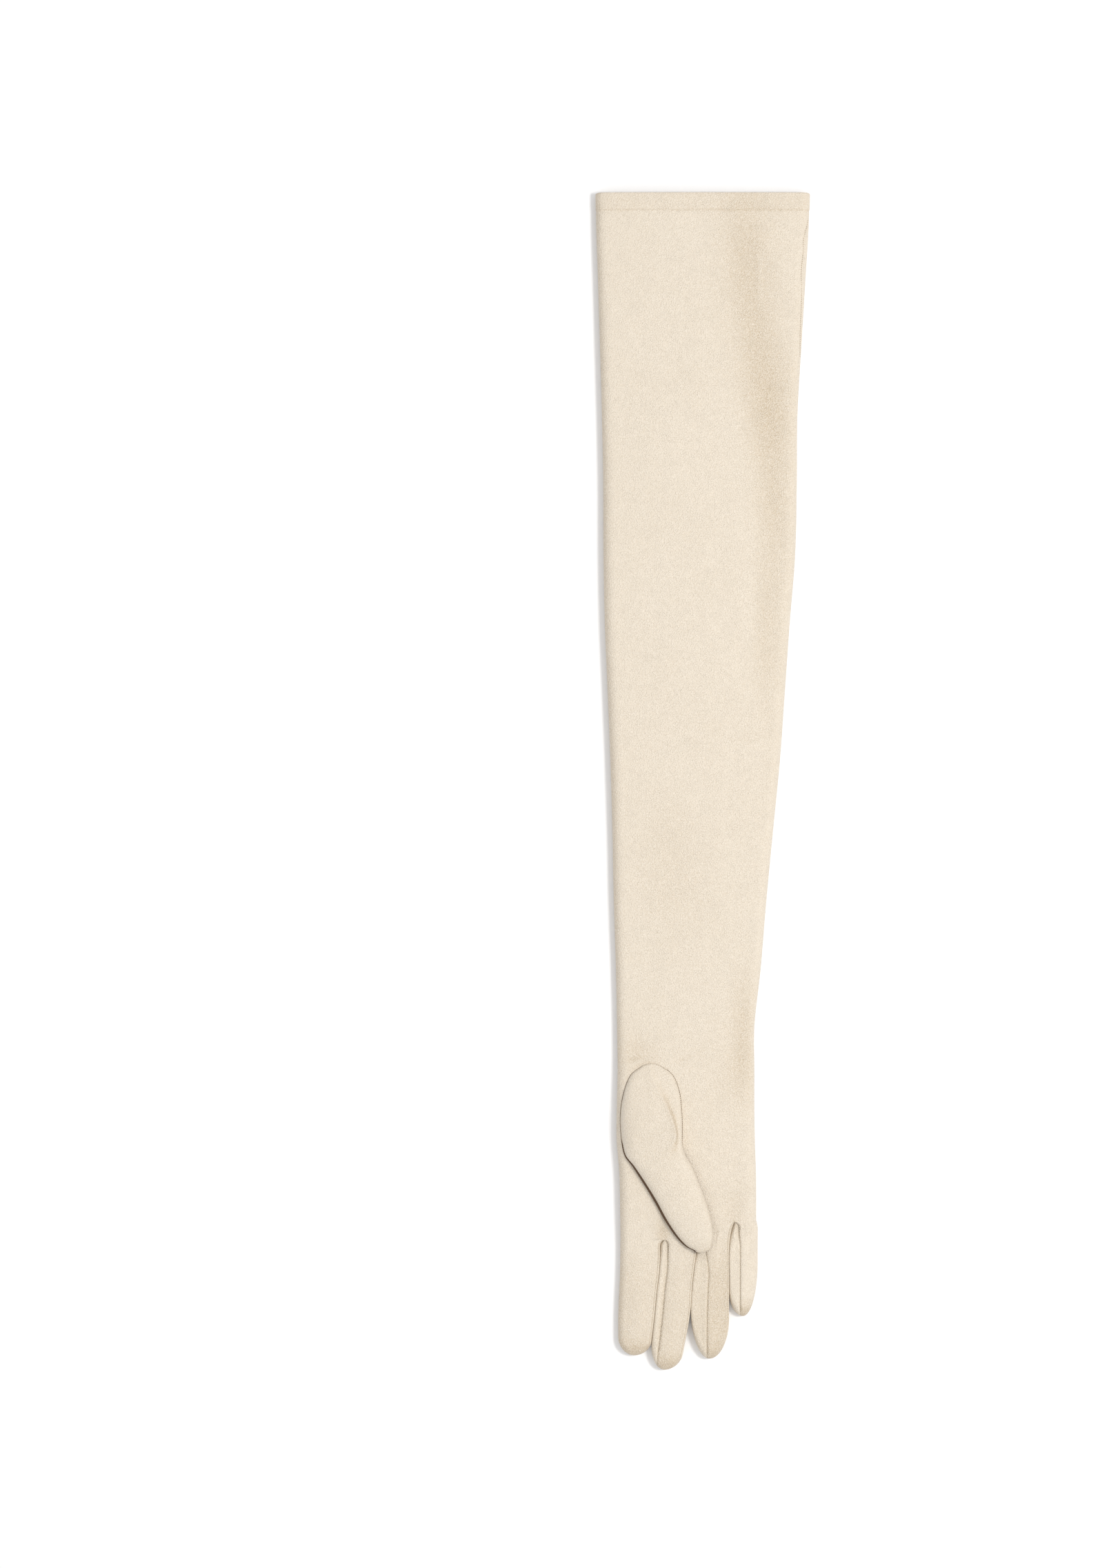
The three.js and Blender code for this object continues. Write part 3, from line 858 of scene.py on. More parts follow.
@dataclass
class Trank:
    """The skin of palm, back, sleeve and finger faces, open at the cuff, the thumb and the forks."""

    hand: Hand
    index_columns: int = 50
    middle_columns: int = 20
    ring_columns: int = 20
    little_columns: int = 30
    palm_row: float = 1.65
    sleeve_row: float = 3.3
    crowding: float = 0.55
    edge_round: float = 1.0
    seams: list[tuple[Array, float]] = field(default_factory=list)

    def spread(self, columns: int) -> Array:
        """Shares of the way across a strip, closer together next to its seams."""
        t = np.linspace(0.0, 1.0, columns + 1)
        return mix(t, smooth(t), self.crowding)

    def apexes(self) -> list[tuple[float, float]]:
        """Where the three slits between the fingers begin, round the section at the roots."""
        s = self.hand.sizes
        middle, half, height = self.hand.outline(np.array([s.root_y + s.web]))
        rise = (height - s.crown) / 2
        section = Section(middle, half, rise, rise, s.crown)
        found = []
        for slit in SLITS:
            x = s.palm_left + s.palm_width * slit
            share = float(section.share_of((x - middle) / half)[0])
            found.append((share, 2.0 - share))
        return found

    def strips(self) -> list[tuple[Finger, float, float, int]]:
        """The strips that the fingers' skins grow from, in order round the glove: the finger, where
        the strip starts and ends round the section, and its number of columns."""
        (t1, b1), (t2, b2), (t3, b3) = self.apexes()
        index, middle, ring, little = FINGERS
        return [
            (index, b1, 2 + t1, self.index_columns),
            (middle, 2 + t1, 2 + t2, self.middle_columns),
            (ring, 2 + t2, 2 + t3, self.ring_columns),
            (little, 2 + t3, 2 + b3, self.little_columns),
            (ring, 2 + b3, 2 + b2, self.ring_columns),
            (middle, 2 + b2, 2 + b1, self.middle_columns),
        ]

    def rows(self) -> tuple[Array, Array]:
        """Places along of the rows from the fingers' roots to the cuff, and their insets, which
        turn the last rows over the cuff's rounded edge."""
        s = self.hand.sizes
        start = s.root_y + s.web
        palm = steps_between(start, s.wrist_y, int((s.wrist_y - start) / self.palm_row))
        low = s.cuff_y - s.hem_depth - 1.5
        sleeve = steps_between(s.wrist_y, low, int((low - s.wrist_y) / self.sleeve_row))
        high = s.cuff_y - self.edge_round
        hem = steps_between(low, high, 16)
        turn = np.linspace(0.0, math.pi / 2, 5)
        y = np.concatenate([palm, sleeve, hem, high + self.edge_round * np.sin(turn)])
        inset = np.concatenate([np.zeros(len(y) - 5), self.edge_round * (1 - np.cos(turn))])
        return y, inset

    def add_body(self, work: Patchwork) -> None:
        """Palm and sleeve: the section carried from the fingers' roots to the cuff."""
        ways = np.concatenate([mix(a, b, self.spread(n)[:-1]) for _, a, b, n in self.strips()])
        y, inset = self.rows()
        x, y, z, shade = self.hand.body(ways[None, :], y[:, None], inset[:, None])
        work.add(x, y, z, shade, closed=True)

    def add_fingers(self, work: Patchwork) -> None:
        """The fingers' strips, each from its own stretch of the first row of the body to its tip."""
        s = self.hand.sizes
        for finger, begin, end, columns in self.strips():
            spread = self.spread(columns)
            ways = mix(begin, end, spread)[None, :]
            x, y, z, _ = self.hand.body(ways, np.array([[s.root_y + s.web]]))
            start = np.stack([x[0], y[0], z[0]], -1)
            seams = self.hand.seams_of(finger)
            palm_side = 2 <= begin < 3
            if finger.name == "index":
                first, last = seams["right_back"], 2 + seams["right"]
                slit = np.full(columns + 1, finger.right_slit)
            elif finger.name == "little":
                first, last = seams["left"], seams["left_back"]
                slit = np.full(columns + 1, finger.left_slit)
            elif palm_side:
                first, last = seams["left"], seams["right"]
                slit = mix(finger.left_slit, finger.right_slit, spread)
            else:
                first, last = seams["right_back"], seams["left_back"]
                slit = mix(finger.right_slit, finger.left_slit, spread)
            grid = self.hand.strip(finger, start, spread, first, last, slit)
            work.add(*grid, turn=True)
            self.note_seams(finger, grid)

    def note_seams(self, finger: Finger, grid: tuple[Array, Array, Array, Array]) -> None:
        """Keep the edges of a strip as the paths of its stitches, as far as the seam lies open."""
        x, y, z, _ = grid
        rows = self.hand.stations(finger) > 2.0
        for column in (0, -1):
            path = np.stack([x[rows, column], y[rows, column], z[rows, column]], -1)
            up = 1.0 if z[len(z) // 2, column] > self.hand.sizes.finger_height / 2 else -1.0
            self.seams.append((path, up))

    def build(self, thumb: "Thumb") -> bpy.types.Object:
        """Make the trank with its hole for the thumb."""
        work = Patchwork()
        self.add_body(work)
        self.add_fingers(work)
        made = work.mesh("trank_skin", thumb.over_hole)
        add_wall(made, self.hand.sizes.leather, inner=1)
        return made


@dataclass
class Fork:
    """A fourchette: the forked strip down the side of one finger, round the web, up the next."""

    trank: Trank
    number: int
    columns: int = 22
    lap: float = 0.9
    sag: float = 1.2
    under: float = 0.62
    wall: float = 0.8

    def side(self, finger: Finger, first: Array, last: Array, start: Array,
             slit: float) -> tuple[Array, Array, Array, Array]:
        """One side of a finger between its palm seam and its back seam, drawn in under the trank.

        Args:
            finger: the finger.
            first: where the side begins round the finger, one a row.
            last: where it ends.
            start: the points of the web that it grows from.
            slit: how long the end of the slit is.

        Returns:
            x, y, z and the shade.
        """
        hand = self.trank.hand
        far = hand.stations(finger)[:, None]
        section = hand.tube(finger, far)[0]
        girth = 2 * section.half + (math.pi - 2) * section.roll()
        first, last = first[:, None], last[:, None]
        width = (last - first) * girth
        lap = self.lap * smooth(width / 2.5) / np.maximum(girth, TINY)
        way = mix(first - lap, last + lap, self.trank.spread(self.columns)[None, :])
        x, z, nx, nz = section.at(way)
        v = finger.length - far
        near = np.minimum(way - first, last - way) * girth
        opened = smooth(v / SEAM_ROOT) * smooth(width / 3.0)
        beside = np.where(near >= 0, seam_profile(near) * opened, 0.0)
        beneath = np.where(near < 0, -self.under - 0.4 * smooth(-near / self.lap), 0.0)
        lift = beside + beneath * smooth(width / 1.5) * smooth(v / 1.5)
        x = x + nx * lift
        z = np.maximum(z + nz * lift, 0.0)
        tip = hand.sizes.root_y + finger.rise * hand.sizes.little_rise - finger.length
        y = np.broadcast_to(tip + far, x.shape)
        x, y, z = hand.joined(x, y, z, v, start, np.full(self.columns + 1, slit))
        # Painted shade: a dark line in the seams' creases, and half the finger's painted shade
        shade = np.clip(seam_painted_shade(near) + 0.5 * finger.shade * smooth(v / PAINTED_SHADE_ROOT), 0.0, 1.0)
        open_rows = np.nonzero((width[:, 0] > 0.05) | (far[:, 0] > finger.length / 2))[0]
        last_row = open_rows[-1] + 2
        return x[:last_row], y[:last_row], z[:last_row], shade[:last_row]

    def build(self) -> bpy.types.Object:
        """Make the fork: both sides, which share the web between the fingers."""
        hand = self.trank.hand
        s = hand.sizes
        first, second = FINGERS[self.number], FINGERS[self.number + 1]
        top_way, back_way = self.trank.apexes()[self.number]
        x, y, z, _ = hand.body(np.array([[top_way, back_way]]), np.array([[s.root_y + s.web]]))
        q = self.trank.spread(self.columns)
        near_seam = np.abs(2 * q - 1) ** 4
        web_x = mix(x[0, 0], x[0, 1], q)
        web_y = mix(y[0, 0], y[0, 1], q) + self.lap * near_seam - self.sag * np.sin(math.pi * q)
        web_z = mix(z[0, 0] - self.under, z[0, 1] + self.under, q)
        web = np.stack([web_x, web_y, web_z], -1)
        work = Patchwork()
        seams = hand.seams_of(first)
        work.add(*self.side(first, seams["right"], seams["right_back"], web, first.right_slit), turn=True)
        seams = hand.seams_of(second)
        next_side = self.side(second, seams["left_back"], 2 + seams["left"], web[::-1], second.left_slit)
        work.add(*next_side, turn=True)
        made = work.mesh(f"fork_{first.name}_{second.name}")
        add_wall(made, s.leather * self.wall)
        return made


# The thumb from the top of its oval to its tip. left, right: its edges as shares of its width from
# the oval's left side, and how far along its length. rise: share of its height above the palm.
# fold: where its ridge runs across it. free: 0 where it stands in the palm, 1 where it lies free.
THUMB = np.array([
    # left, left along, right, right along, rise, fold, free
    (0.35, 0.012, 0.66, 0.012, 0.12, 0.45, 0),
    (0.16, 0.06, 0.86, 0.06, 0.34, 0.47, 0),
    (0.05, 0.145, 0.97, 0.145, 0.6, 0.62, 0),
    (-0.01, 0.25, 1.01, 0.245, 0.82, 0.78, 0),
    (-0.01, 0.365, 1.02, 0.34, 0.96, 0.88, 0),
    (0.05, 0.48, 1.02, 0.425, 1.0, 0.92, 0.35),
    (0.19, 0.545, 1.07, 0.485, 1.0, 0.92, 0.85),
    (0.35, 0.625, 1.17, 0.54, 0.98, 0.9, 1),
    (0.54, 0.725, 1.3, 0.64, 0.95, 0.88, 1),
    (0.72, 0.83, 1.42, 0.745, 0.92, 0.86, 1),
    (0.9, 0.915, 1.5, 0.84, 0.86, 0.84, 1),
    (1.06, 0.967, 1.52, 0.92, 0.74, 0.8, 1),
    (1.2, 0.99, 1.49, 0.965, 0.6, 0.8, 1),
])
# Its section where it stands in the palm, from edge to edge: place before the fold as a share of
# the way to it, or past it as 1 plus the share of the way on, and the height there
STANDING = np.array([
    # place, height
    (0.0, 0.0),
    (0.02, 0.3),
    (0.07, 0.52),
    (0.2, 0.74),
    (0.45, 0.88),
    (0.75, 0.95),
    (0.94, 0.985),
    (1.0, 1.0),
    (1.1, 0.9),
    (1.25, 0.7),
    (1.5, 0.62),
    (1.78, 0.56),
    (1.95, 0.34),
    (2.0, 0.0),
])
# Its section where it lies free: place across and height above its edges
LYING = np.array([
    # place, height
    (0.0, 0.0),
    (0.006, 0.25),
    (0.025, 0.45),
    (0.07, 0.64),
    (0.15, 0.8),
    (0.29, 0.93),
    (0.48, 1.0),
    (0.68, 0.98),
    (0.84, 0.86),
    (0.935, 0.66),
    (0.98, 0.38),
    (1.0, 0.0),
])


# Width of the dark crease that the thumb's left edge makes with the palm, in millimetres: a strip of the
# thumb that lies on the palm, painted as a dark shadow
FOOT = np.array([
    # step of the thumb, width
    (0.0, 0.35),
    (2.0, 0.4),
    (3.5, 0.7),
    (5.0, 0.9),
    (6.0, 1.2),
    (8.0, 1.5),
    (10.0, 1.25),
    (12.0, 0.8),
])
# Columns of points in that crease, as shares of its width from the thumb's edge inwards
FOOT_COLUMNS = (0.0, 0.15, 0.97)


@dataclass
class Thumb:
    """The set-in thumb, sewn into an oval of the palm and folded over it."""

    hand: Hand
    length: float = 112.0
    width: float = 36.0
    rise: float = 9.8
    top: float = 17.2
    side: float = 2.0
    tip_across: float = 1.36
    rows_a_step: int = 9
    columns: int = 60
    edge_depth: float = 0.5
    lip: float = 0.2
    lying_lip: float = 0.42
    # Width of a like strip along the oval's right side and top, painted as a dark shadow where the thumb
    # stands in the palm
    right_crease: float = 0.35
    overlap: float = 2.2
    wall: float = 0.35
    standing_step: float = 0.8
    lying_step: float = 0.25
    foot_share: float = 0.2
    valley_at: float = 1.2
    valley_width: float = 0.17
    # Shading of the thumb: a little darker all over, painted shade in the valley beside the ridge, darker
    # towards the tip, painted shade on the lower sheet, which lies under the thumb, and the crease strips
    # painted as dark shadow
    plain_shade: float = 0.05
    valley_shade: float = 0.75
    tip_shade: float = 0.25
    under_shade: float = 1.6
    crease_shade: float = 2.0
    seam_from: float = 9.3
    seam_column: int = -10
    seams: list[tuple[Array, float]] = field(default_factory=list)

    def origin(self) -> tuple[float, float]:
        """The oval's left side and its top."""
        s = self.hand.sizes
        return s.wrist_offset - s.palm_width / 2 + self.side, s.wrist_y - self.top

    def steps(self) -> tuple[Array, Array]:
        """Places in the table, one a row, and how far the section is open: round ends close it."""
        last = len(THUMB) - 1
        turn = np.linspace(0.0, math.pi / 2, 9)
        inner = np.linspace(0.0, last, last * self.rows_a_step + 1)
        place = np.concatenate([-np.sin(turn[::-1])[:-1], inner, last + np.sin(turn)[1:]])
        start = np.sqrt(1 - np.sin(turn[::-1]))
        opened = np.concatenate([start[:-1], np.ones(len(inner)), np.cos(turn)[1:]])
        return place, opened

    def edges(self) -> tuple[Array, Array, Array, Array, Array, Array, Array]:
        """Left and right edges, height, fold and freedom of each row."""
        left0, top0 = self.origin()
        place, opened = self.steps()
        n = np.arange(len(THUMB))
        column = {name: curve(place, n, THUMB[:, k]) for k, name in enumerate(
            ("left", "left_along", "right", "right_along", "rise", "fold", "free"))}
        mid_across = (column["left"] + column["right"]) / 2
        mid_along = (column["left_along"] + column["right_along"]) / 2
        before = np.clip(-place, 0, 1)
        after = np.clip(place - n[-1], 0, 1)
        mid_along = mid_along - before * 0.012 + after * (1.0 - mid_along)
        mid_across = mid_across + after * (self.tip_across - mid_across)
        half_across = (column["right"] - column["left"]) / 2 * opened
        half_along = (column["right_along"] - column["left_along"]) / 2 * opened
        left_x = left0 + (mid_across - half_across) * self.width
        right_x = left0 + (mid_across + half_across) * self.width
        left_y = top0 - (mid_along - half_along) * self.length
        right_y = top0 - (mid_along + half_along) * self.length
        height = column["rise"] * np.where(place < 0, opened, 1.0)
        return left_x, left_y, right_x, right_y, height, column["fold"], np.clip(column["free"], 0, 1)

    def palm(self, x: Array, y: Array) -> Array:
        """Height of the palm's upper side."""
        s = self.hand.sizes
        middle, half, height = self.hand.outline(y)
        rise = (height - s.crown) / 2
        inner = half - rise
        off = np.abs(x - middle)
        over = np.clip((off - inner) / rise, 0.0, 1.0)
        plain = rise + rise * np.sqrt(1 - over**2) + s.crown * (1 - np.clip(off / inner, 0, 1) ** 2)
        return plain + relief_at(s, x, y) * (plain / height) ** 2

    def over_hole(self, centres: Array) -> Array:
        """Whether points lie on the palm inside the oval, a little in from its edge."""
        left_x, left_y, right_x, right_y, _, _, free = self.edges()
        rows = (free < 0.3) & (self.steps()[0] > 0.2)
        y = -centres[:, 1]
        left = np.interp(y, -left_y[rows], left_x[rows]) + self.overlap
        right = np.interp(y, -right_y[rows], right_x[rows]) - self.overlap
        beside = (y > -left_y[rows][0] + 1) & (y < -left_y[rows][-1])
        above = centres[:, 2] > self.hand.sizes.palm_height / 2
        return beside & above & (centres[:, 0] > left) & (centres[:, 0] < right)

    def section(self, fold: Array, loose: Array) -> tuple[Array, Array, Array]:
        """The thumb's sections, from the standing one to the lying one as it comes loose.

        Args:
            fold: where the ridge runs across, one a row.
            loose: 0 where the thumb stands in the palm, 1 where it lies free.

        Returns:
            Places across and heights, both as shares, and the way over the standing section.
        """
        t = np.linspace(0.0, 1.0, self.columns + 1)[None, :]
        knots = np.linspace(0.0, 1.0, len(STANDING))
        way = curve(t, knots, STANDING[:, 0])
        across = np.where(way < 1, way * fold, fold + (way - 1) * (1 - fold))
        lying_across, lying_height = self.lying()
        high = mix(curve(t, knots, STANDING[:, 1]), lying_height, loose)
        return mix(across, lying_across, loose), high, way

    def lying(self) -> tuple[Array, Array]:
        """Places across and heights of the section where the thumb lies free."""
        t = np.linspace(0.0, 1.0, self.columns + 1)[None, :]
        knots = np.linspace(0.0, 1.0, len(LYING))
        return curve(t, knots, LYING[:, 0]), np.clip(curve(t, knots, LYING[:, 1]), 0, 1)

    def build(self) -> bpy.types.Object:
        """Make the thumb: an upper sheet over its whole length, and a lower one where it lies free."""
        s = self.hand.sizes
        left_x, left_y, right_x, right_y, height, fold, free = (k[:, None] for k in self.edges())
        place, opened = (k[:, None] for k in self.steps())
        loose = smooth(free)
        u, h, way = self.section(fold, loose)
        base = s.palm_height + s.seam_gap
        top = s.palm_height + self.rise * height
        left_low = mix(self.palm(left_x, left_y) - self.edge_depth, base, loose)
        right_low = mix(self.palm(right_x, right_y) - self.edge_depth, base, loose)
        step = mix(self.standing_step, (top - base) * self.lying_step, loose)
        right_ground = right_low + step * loose
        width = np.maximum(np.hypot(right_x - left_x, right_y - left_y), TINY)
        footed = opened > 0.1
        left_crease = curve(place, FOOT[:, 0], FOOT[:, 1])
        left_foot = np.minimum(left_crease / width, self.foot_share) * footed
        right_foot = np.minimum(self.right_crease / width, self.foot_share) * (1 - loose) * footed
        start = mix(left_low + step, right_ground + step * (1 - loose), u)
        z = start + (top - start) * h
        # Painted shade in the valley right of the ridge, where the thumb stands; a little darker all over
        # and towards the tip
        in_valley = bell((way - self.valley_at) / self.valley_width)
        valley = in_valley * smooth(height / 0.6 - 0.6) * (1 - loose)
        near_tip = 1 - smooth((len(THUMB) - place) / 2.0)
        shade = self.plain_shade + self.valley_shade * valley + self.tip_shade * near_tip
        left = [left_foot * share for share in FOOT_COLUMNS]
        right = [1 - right_foot * share for share in FOOT_COLUMNS[::-1]]
        across = np.concatenate([*left, left_foot + u * (1 - left_foot - right_foot), *right], 1)
        above = self.edge_depth + self.lip
        left_above = left_low + mix(above, self.lying_lip, loose)
        right_above = right_ground + above * (1 - loose)
        z = np.concatenate([left_low, left_above, left_above, z, right_above, right_above, right_ground], 1)
        # The crease strips are painted as dark shadow; the right one only where the thumb stands in the
        # palm
        painted_shadow = np.full_like(loose, self.crease_shade)
        dark = painted_shadow * (1 - loose)
        shade = np.concatenate([painted_shadow, painted_shadow, painted_shadow, shade, dark, dark, dark], 1)
        x = mix(left_x, right_x, across)
        y = mix(left_y, right_y, across)
        lifted = z + self.folds(x, y) * smooth((z - left_low) / 3.0)
        closing = np.where(place > len(THUMB) - 1, np.sqrt(opened), 1.0)
        z = base + (lifted - base) * closing
        work = Patchwork()
        work.add(x, y, z, shade, turn=True)
        back, back_high = (k[:, ::-1] for k in self.lying())
        low = mix(left_low, right_low, back) + (right_ground - right_low) * (1 - back_high) * (back > 0.5)
        low = base + (low - base) * closing
        rows = np.nonzero(free[:, 0] > 0.02)[0]
        x_low = mix(left_x, right_x, back)
        y_low = mix(left_y, right_y, back)
        # The lower sheet, which lies under the thumb, is painted in shade
        work.add(x_low[rows], y_low[rows], low[rows], self.under_shade, turn=True)
        self.note_seams(x, y, z, free[:, 0])
        made = work.mesh("thumb_skin")
        add_wall(made, s.leather * self.wall, inner=1)
        return made

    def folds(self, x: Array, y: Array) -> Array:
        """Soft dents of the thumb's upper side."""
        left0, top0 = self.origin()
        along = (top0 - y) / self.length
        across = (x - left0) / self.width
        return 0.35 * np.sin(9 * along + 3 * across) * bell((across - 0.7) / 0.5) * smooth(along / 0.4)

    def note_seams(self, x: Array, y: Array, z: Array, free: Array) -> None:
        """Keep the paths of the thumb's stitches: round the oval, and up the side of the tip."""
        place = self.steps()[0]
        standing = free < 0.5
        left = np.stack([x[standing, 2], y[standing, 2], z[standing, 2]], -1)
        right = np.stack([x[standing, -3], y[standing, -3], z[standing, -3]], -1)
        self.seams.append((np.concatenate([left[::-1], right]), 1.0))
        end = place > self.seam_from
        column = self.seam_column
        self.seams.append((np.stack([x[end, column], y[end, column], z[end, column]], -1), 1.0))


@dataclass
class CuffHem:
    """The leather turned in at the mouth: a band inside the sleeve's edge."""

    hand: Hand
    columns: int = 150
    rows: int = 8
    edge_step: float = 0.15
    wall: float = 0.9

    def build(self) -> bpy.types.Object:
        """Make the band: the sleeve's section drawn in by the wall and the seam's gap."""
        s = self.hand.sizes
        inset = s.leather + s.seam_gap
        y = np.linspace(s.cuff_y - s.hem_depth, s.cuff_y - self.edge_step, self.rows)[:, None]
        way = steps_between(0.0, 2.0, self.columns)[None, :]
        x, y, z, shade = self.hand.body(way, y, inset)
        work = Patchwork()
        work.add(x, y, z, shade, closed=True)
        made = work.mesh("cuff_band")
        add_wall(made, s.leather * self.wall)
        return made


# Finishes


@dataclass(frozen=True)
class Leather:
    """A finish of glove leather: its colour and the darker one of its grain's furrows and of painted shade,
    the scale and depth of its grain, and its shine.
    """

    name: str
    colour: tuple[float, float, float]
    painted_shade_and_furrow: tuple[float, float, float]
    pebbles: float = 800.0
    mottling: float = 42.0
    rough: float = 0.52
    depth: float = 0.34
    strength: float = 0.9
    shine: float = 0.38
    sheen: float = 0.12
    sheen_rough: float = 0.5


CREAM = Leather("cream_leather", (0.766, 0.684, 0.57), (0.58, 0.475, 0.342))
# A lighter copy of the cream leather for the forks: painted light that offsets the shade between the
# fingers; its grain a little finer
FORK_CREAM_LIGHTENED = Leather("fork_leather_cream_lightened", (0.796, 0.709, 0.586), (0.58, 0.475, 0.342), pebbles=900.0)
FLESH = Leather("flesh_side", (0.72, 0.63, 0.5), (0.6, 0.5, 0.37),
                pebbles=2600.0, rough=0.85, depth=0.3)
THREAD = Leather("cream_thread", (0.76, 0.67, 0.53), (0.6, 0.49, 0.36),
                 pebbles=3200.0, rough=0.6, depth=0.1)
# The colour of painted shadow, which the shade attribute turns to from 1 to 2: the thumb's crease strips,
# the sheet under the thumb and the side seam's stitches
PAINTED_SHADOW_COLOUR = (0.15, 0.085, 0.042)


@dataclass(frozen=True)
class Wrinkles:
    """A set of wrinkles: how many times finer than the pebbles they are, how many times longer than
    wide, and their angle from the glove's length in radians."""

    times: float
    stretch: float
    turn: float


@dataclass(frozen=True)
class Grain:
    """The grain: its wrinkles, its parts in the bump's height, and how they and the painted shade tint the
    leather.
    """

    broad: Wrinkles = Wrinkles(2.1, 1.9, -0.45)
    narrow: Wrinkles = Wrinkles(3.2, 1.7, -0.05)
    broad_height: float = 0.8
    narrow_height: float = 0.6
    pebble_height: float = 0.4
    fine_height: float = 0.03
    fine_times: float = 3.1
    warp_scale: float = 75.0
    warp_push: float = 0.004
    crack_width: float = 0.28
    crack_tint: float = 0.22
    furrow_level: float = 1.03
    furrow_tint: float = 0.62
    # How much more the grain's furrows show under painted shade
    furrow_in_painted_shade: float = 0.8
    blotch_tint: float = 0.05
    # How far the painted shade tints the leather towards its darker colour
    painted_shade_tint: float = 0.64
    blotch_rough: float = 0.08
    blotch_range: tuple[float, float] = (0.32, 0.68)


class GrainGroup:
    """The grain that every leather shares, with the painted shade that the attribute carries, as one node
    group.
    """

    def __init__(self, grain: Grain = Grain()) -> None:
        """Make the group's sockets and nodes.

        Args:
            grain: the shape of the grain.
        """
        self.grain = grain
        tree = bpy.data.node_groups.new("leather_grain", "ShaderNodeTree")
        self.tree = tree
        for name, kind in (("Place", "NodeSocketVector"), ("Painted Shade And Furrow", "NodeSocketFloat"),
                           ("Colour", "NodeSocketColor"), ("Hollow Colour", "NodeSocketColor"),
                           ("Pebbles", "NodeSocketFloat"), ("Mottling", "NodeSocketFloat"),
                           ("Rough", "NodeSocketFloat")):
            tree.interface.new_socket(name, in_out="INPUT", socket_type=kind)
        for name, kind in (("Colour", "NodeSocketColor"), ("Roughness", "NodeSocketFloat"),
                           ("Height", "NodeSocketFloat")):
            tree.interface.new_socket(name, in_out="OUTPUT", socket_type=kind)
        self.given = tree.nodes.new("NodeGroupInput")
        self.result = tree.nodes.new("NodeGroupOutput")
        place = self.warped()
        pebble = self.pebbles(place)
        broad = self.wrinkles(place, grain.broad)
        narrow = self.wrinkles(place, grain.narrow)
        height = self.math("MULTIPLY", broad, grain.broad_height)
        for part, share in ((narrow, grain.narrow_height), (pebble, grain.pebble_height),
                            (self.fine(place), grain.fine_height)):
            height = self.math("ADD", height, self.math("MULTIPLY", part, share))
        mottle = self.mottle()
        tree.links.new(height, self.result.inputs["Height"])
        tree.links.new(self.colour(broad, narrow, pebble, mottle), self.result.inputs["Colour"])
        duller = self.math("MULTIPLY", mottle, grain.blotch_rough)
        rough = self.math("ADD", self.given.outputs["Rough"], duller)
        tree.links.new(rough, self.result.inputs["Roughness"])

    def math(self, kind: str, first: Socket | float, second: Socket | float) -> Socket:
        """A maths node on two sockets or numbers."""
        node = self.tree.nodes.new("ShaderNodeMath")
        node.operation = kind
        for socket, value in zip(node.inputs, (first, second)):
            if isinstance(value, (int, float)):
                socket.default_value = value
            else:
                self.tree.links.new(value, socket)
        return node.outputs[0]

    def warped(self) -> Socket:
        """The place, pushed about by broad noise, so that the grain doesn't run straight."""
        nodes, links = self.tree.nodes, self.tree.links
        noise = nodes.new("ShaderNodeTexNoise")
        noise.inputs["Scale"].default_value = self.grain.warp_scale
        noise.inputs["Detail"].default_value = 2.0
        links.new(self.given.outputs["Place"], noise.inputs["Vector"])
        push = nodes.new("ShaderNodeVectorMath")
        push.operation = "MULTIPLY_ADD"
        push.inputs[1].default_value = (self.grain.warp_push,) * 3
        links.new(noise.outputs["Color"], push.inputs[0])
        links.new(self.given.outputs["Place"], push.inputs[2])
        return push.outputs[0]

    def pebbles(self, place: Socket) -> Socket:
        """Small cushions of leather between fine cracks: the distance to the cells' edges."""
        nodes, links = self.tree.nodes, self.tree.links
        cells = nodes.new("ShaderNodeTexVoronoi")
        cells.feature = "DISTANCE_TO_EDGE"
        links.new(place, cells.inputs["Vector"])
        links.new(self.given.outputs["Pebbles"], cells.inputs["Scale"])
        swell = nodes.new("ShaderNodeMapRange")
        swell.interpolation_type = "SMOOTHSTEP"
        swell.inputs["From Max"].default_value = self.grain.crack_width
        links.new(cells.outputs["Distance"], swell.inputs["Value"])
        return swell.outputs["Result"]

    def wrinkles(self, place: Socket, shape: Wrinkles) -> Socket:
        """Short soft wrinkles: noise on a place that is stretched along a turned Y.

        Args:
            place: the place's socket.
            shape: the wrinkles' fineness, stretch and angle.

        Returns:
            The noise, about 0.5.
        """
        nodes, links = self.tree.nodes, self.tree.links
        squeeze = nodes.new("ShaderNodeMapping")
        squeeze.vector_type = "TEXTURE"
        squeeze.inputs["Scale"].default_value = (1.0, shape.stretch, 1.0)
        squeeze.inputs["Rotation"].default_value = (0.0, 0.0, shape.turn)
        links.new(place, squeeze.inputs["Vector"])
        noise = nodes.new("ShaderNodeTexNoise")
        noise.inputs["Detail"].default_value = 0.5
        noise.inputs["Roughness"].default_value = 0.5
        noise.inputs["Distortion"].default_value = 0.0
        links.new(squeeze.outputs[0], noise.inputs["Vector"])
        scale = self.math("MULTIPLY", self.given.outputs["Pebbles"], shape.times)
        links.new(scale, noise.inputs["Scale"])
        return noise.outputs["Fac"]

    def fine(self, place: Socket) -> Socket:
        """Fine noise, a number of times finer than the pebbles."""
        noise = self.tree.nodes.new("ShaderNodeTexNoise")
        noise.inputs["Detail"].default_value = 2.0
        self.tree.links.new(place, noise.inputs["Vector"])
        scale = self.math("MULTIPLY", self.given.outputs["Pebbles"], self.grain.fine_times)
        self.tree.links.new(scale, noise.inputs["Scale"])
        return noise.outputs["Fac"]

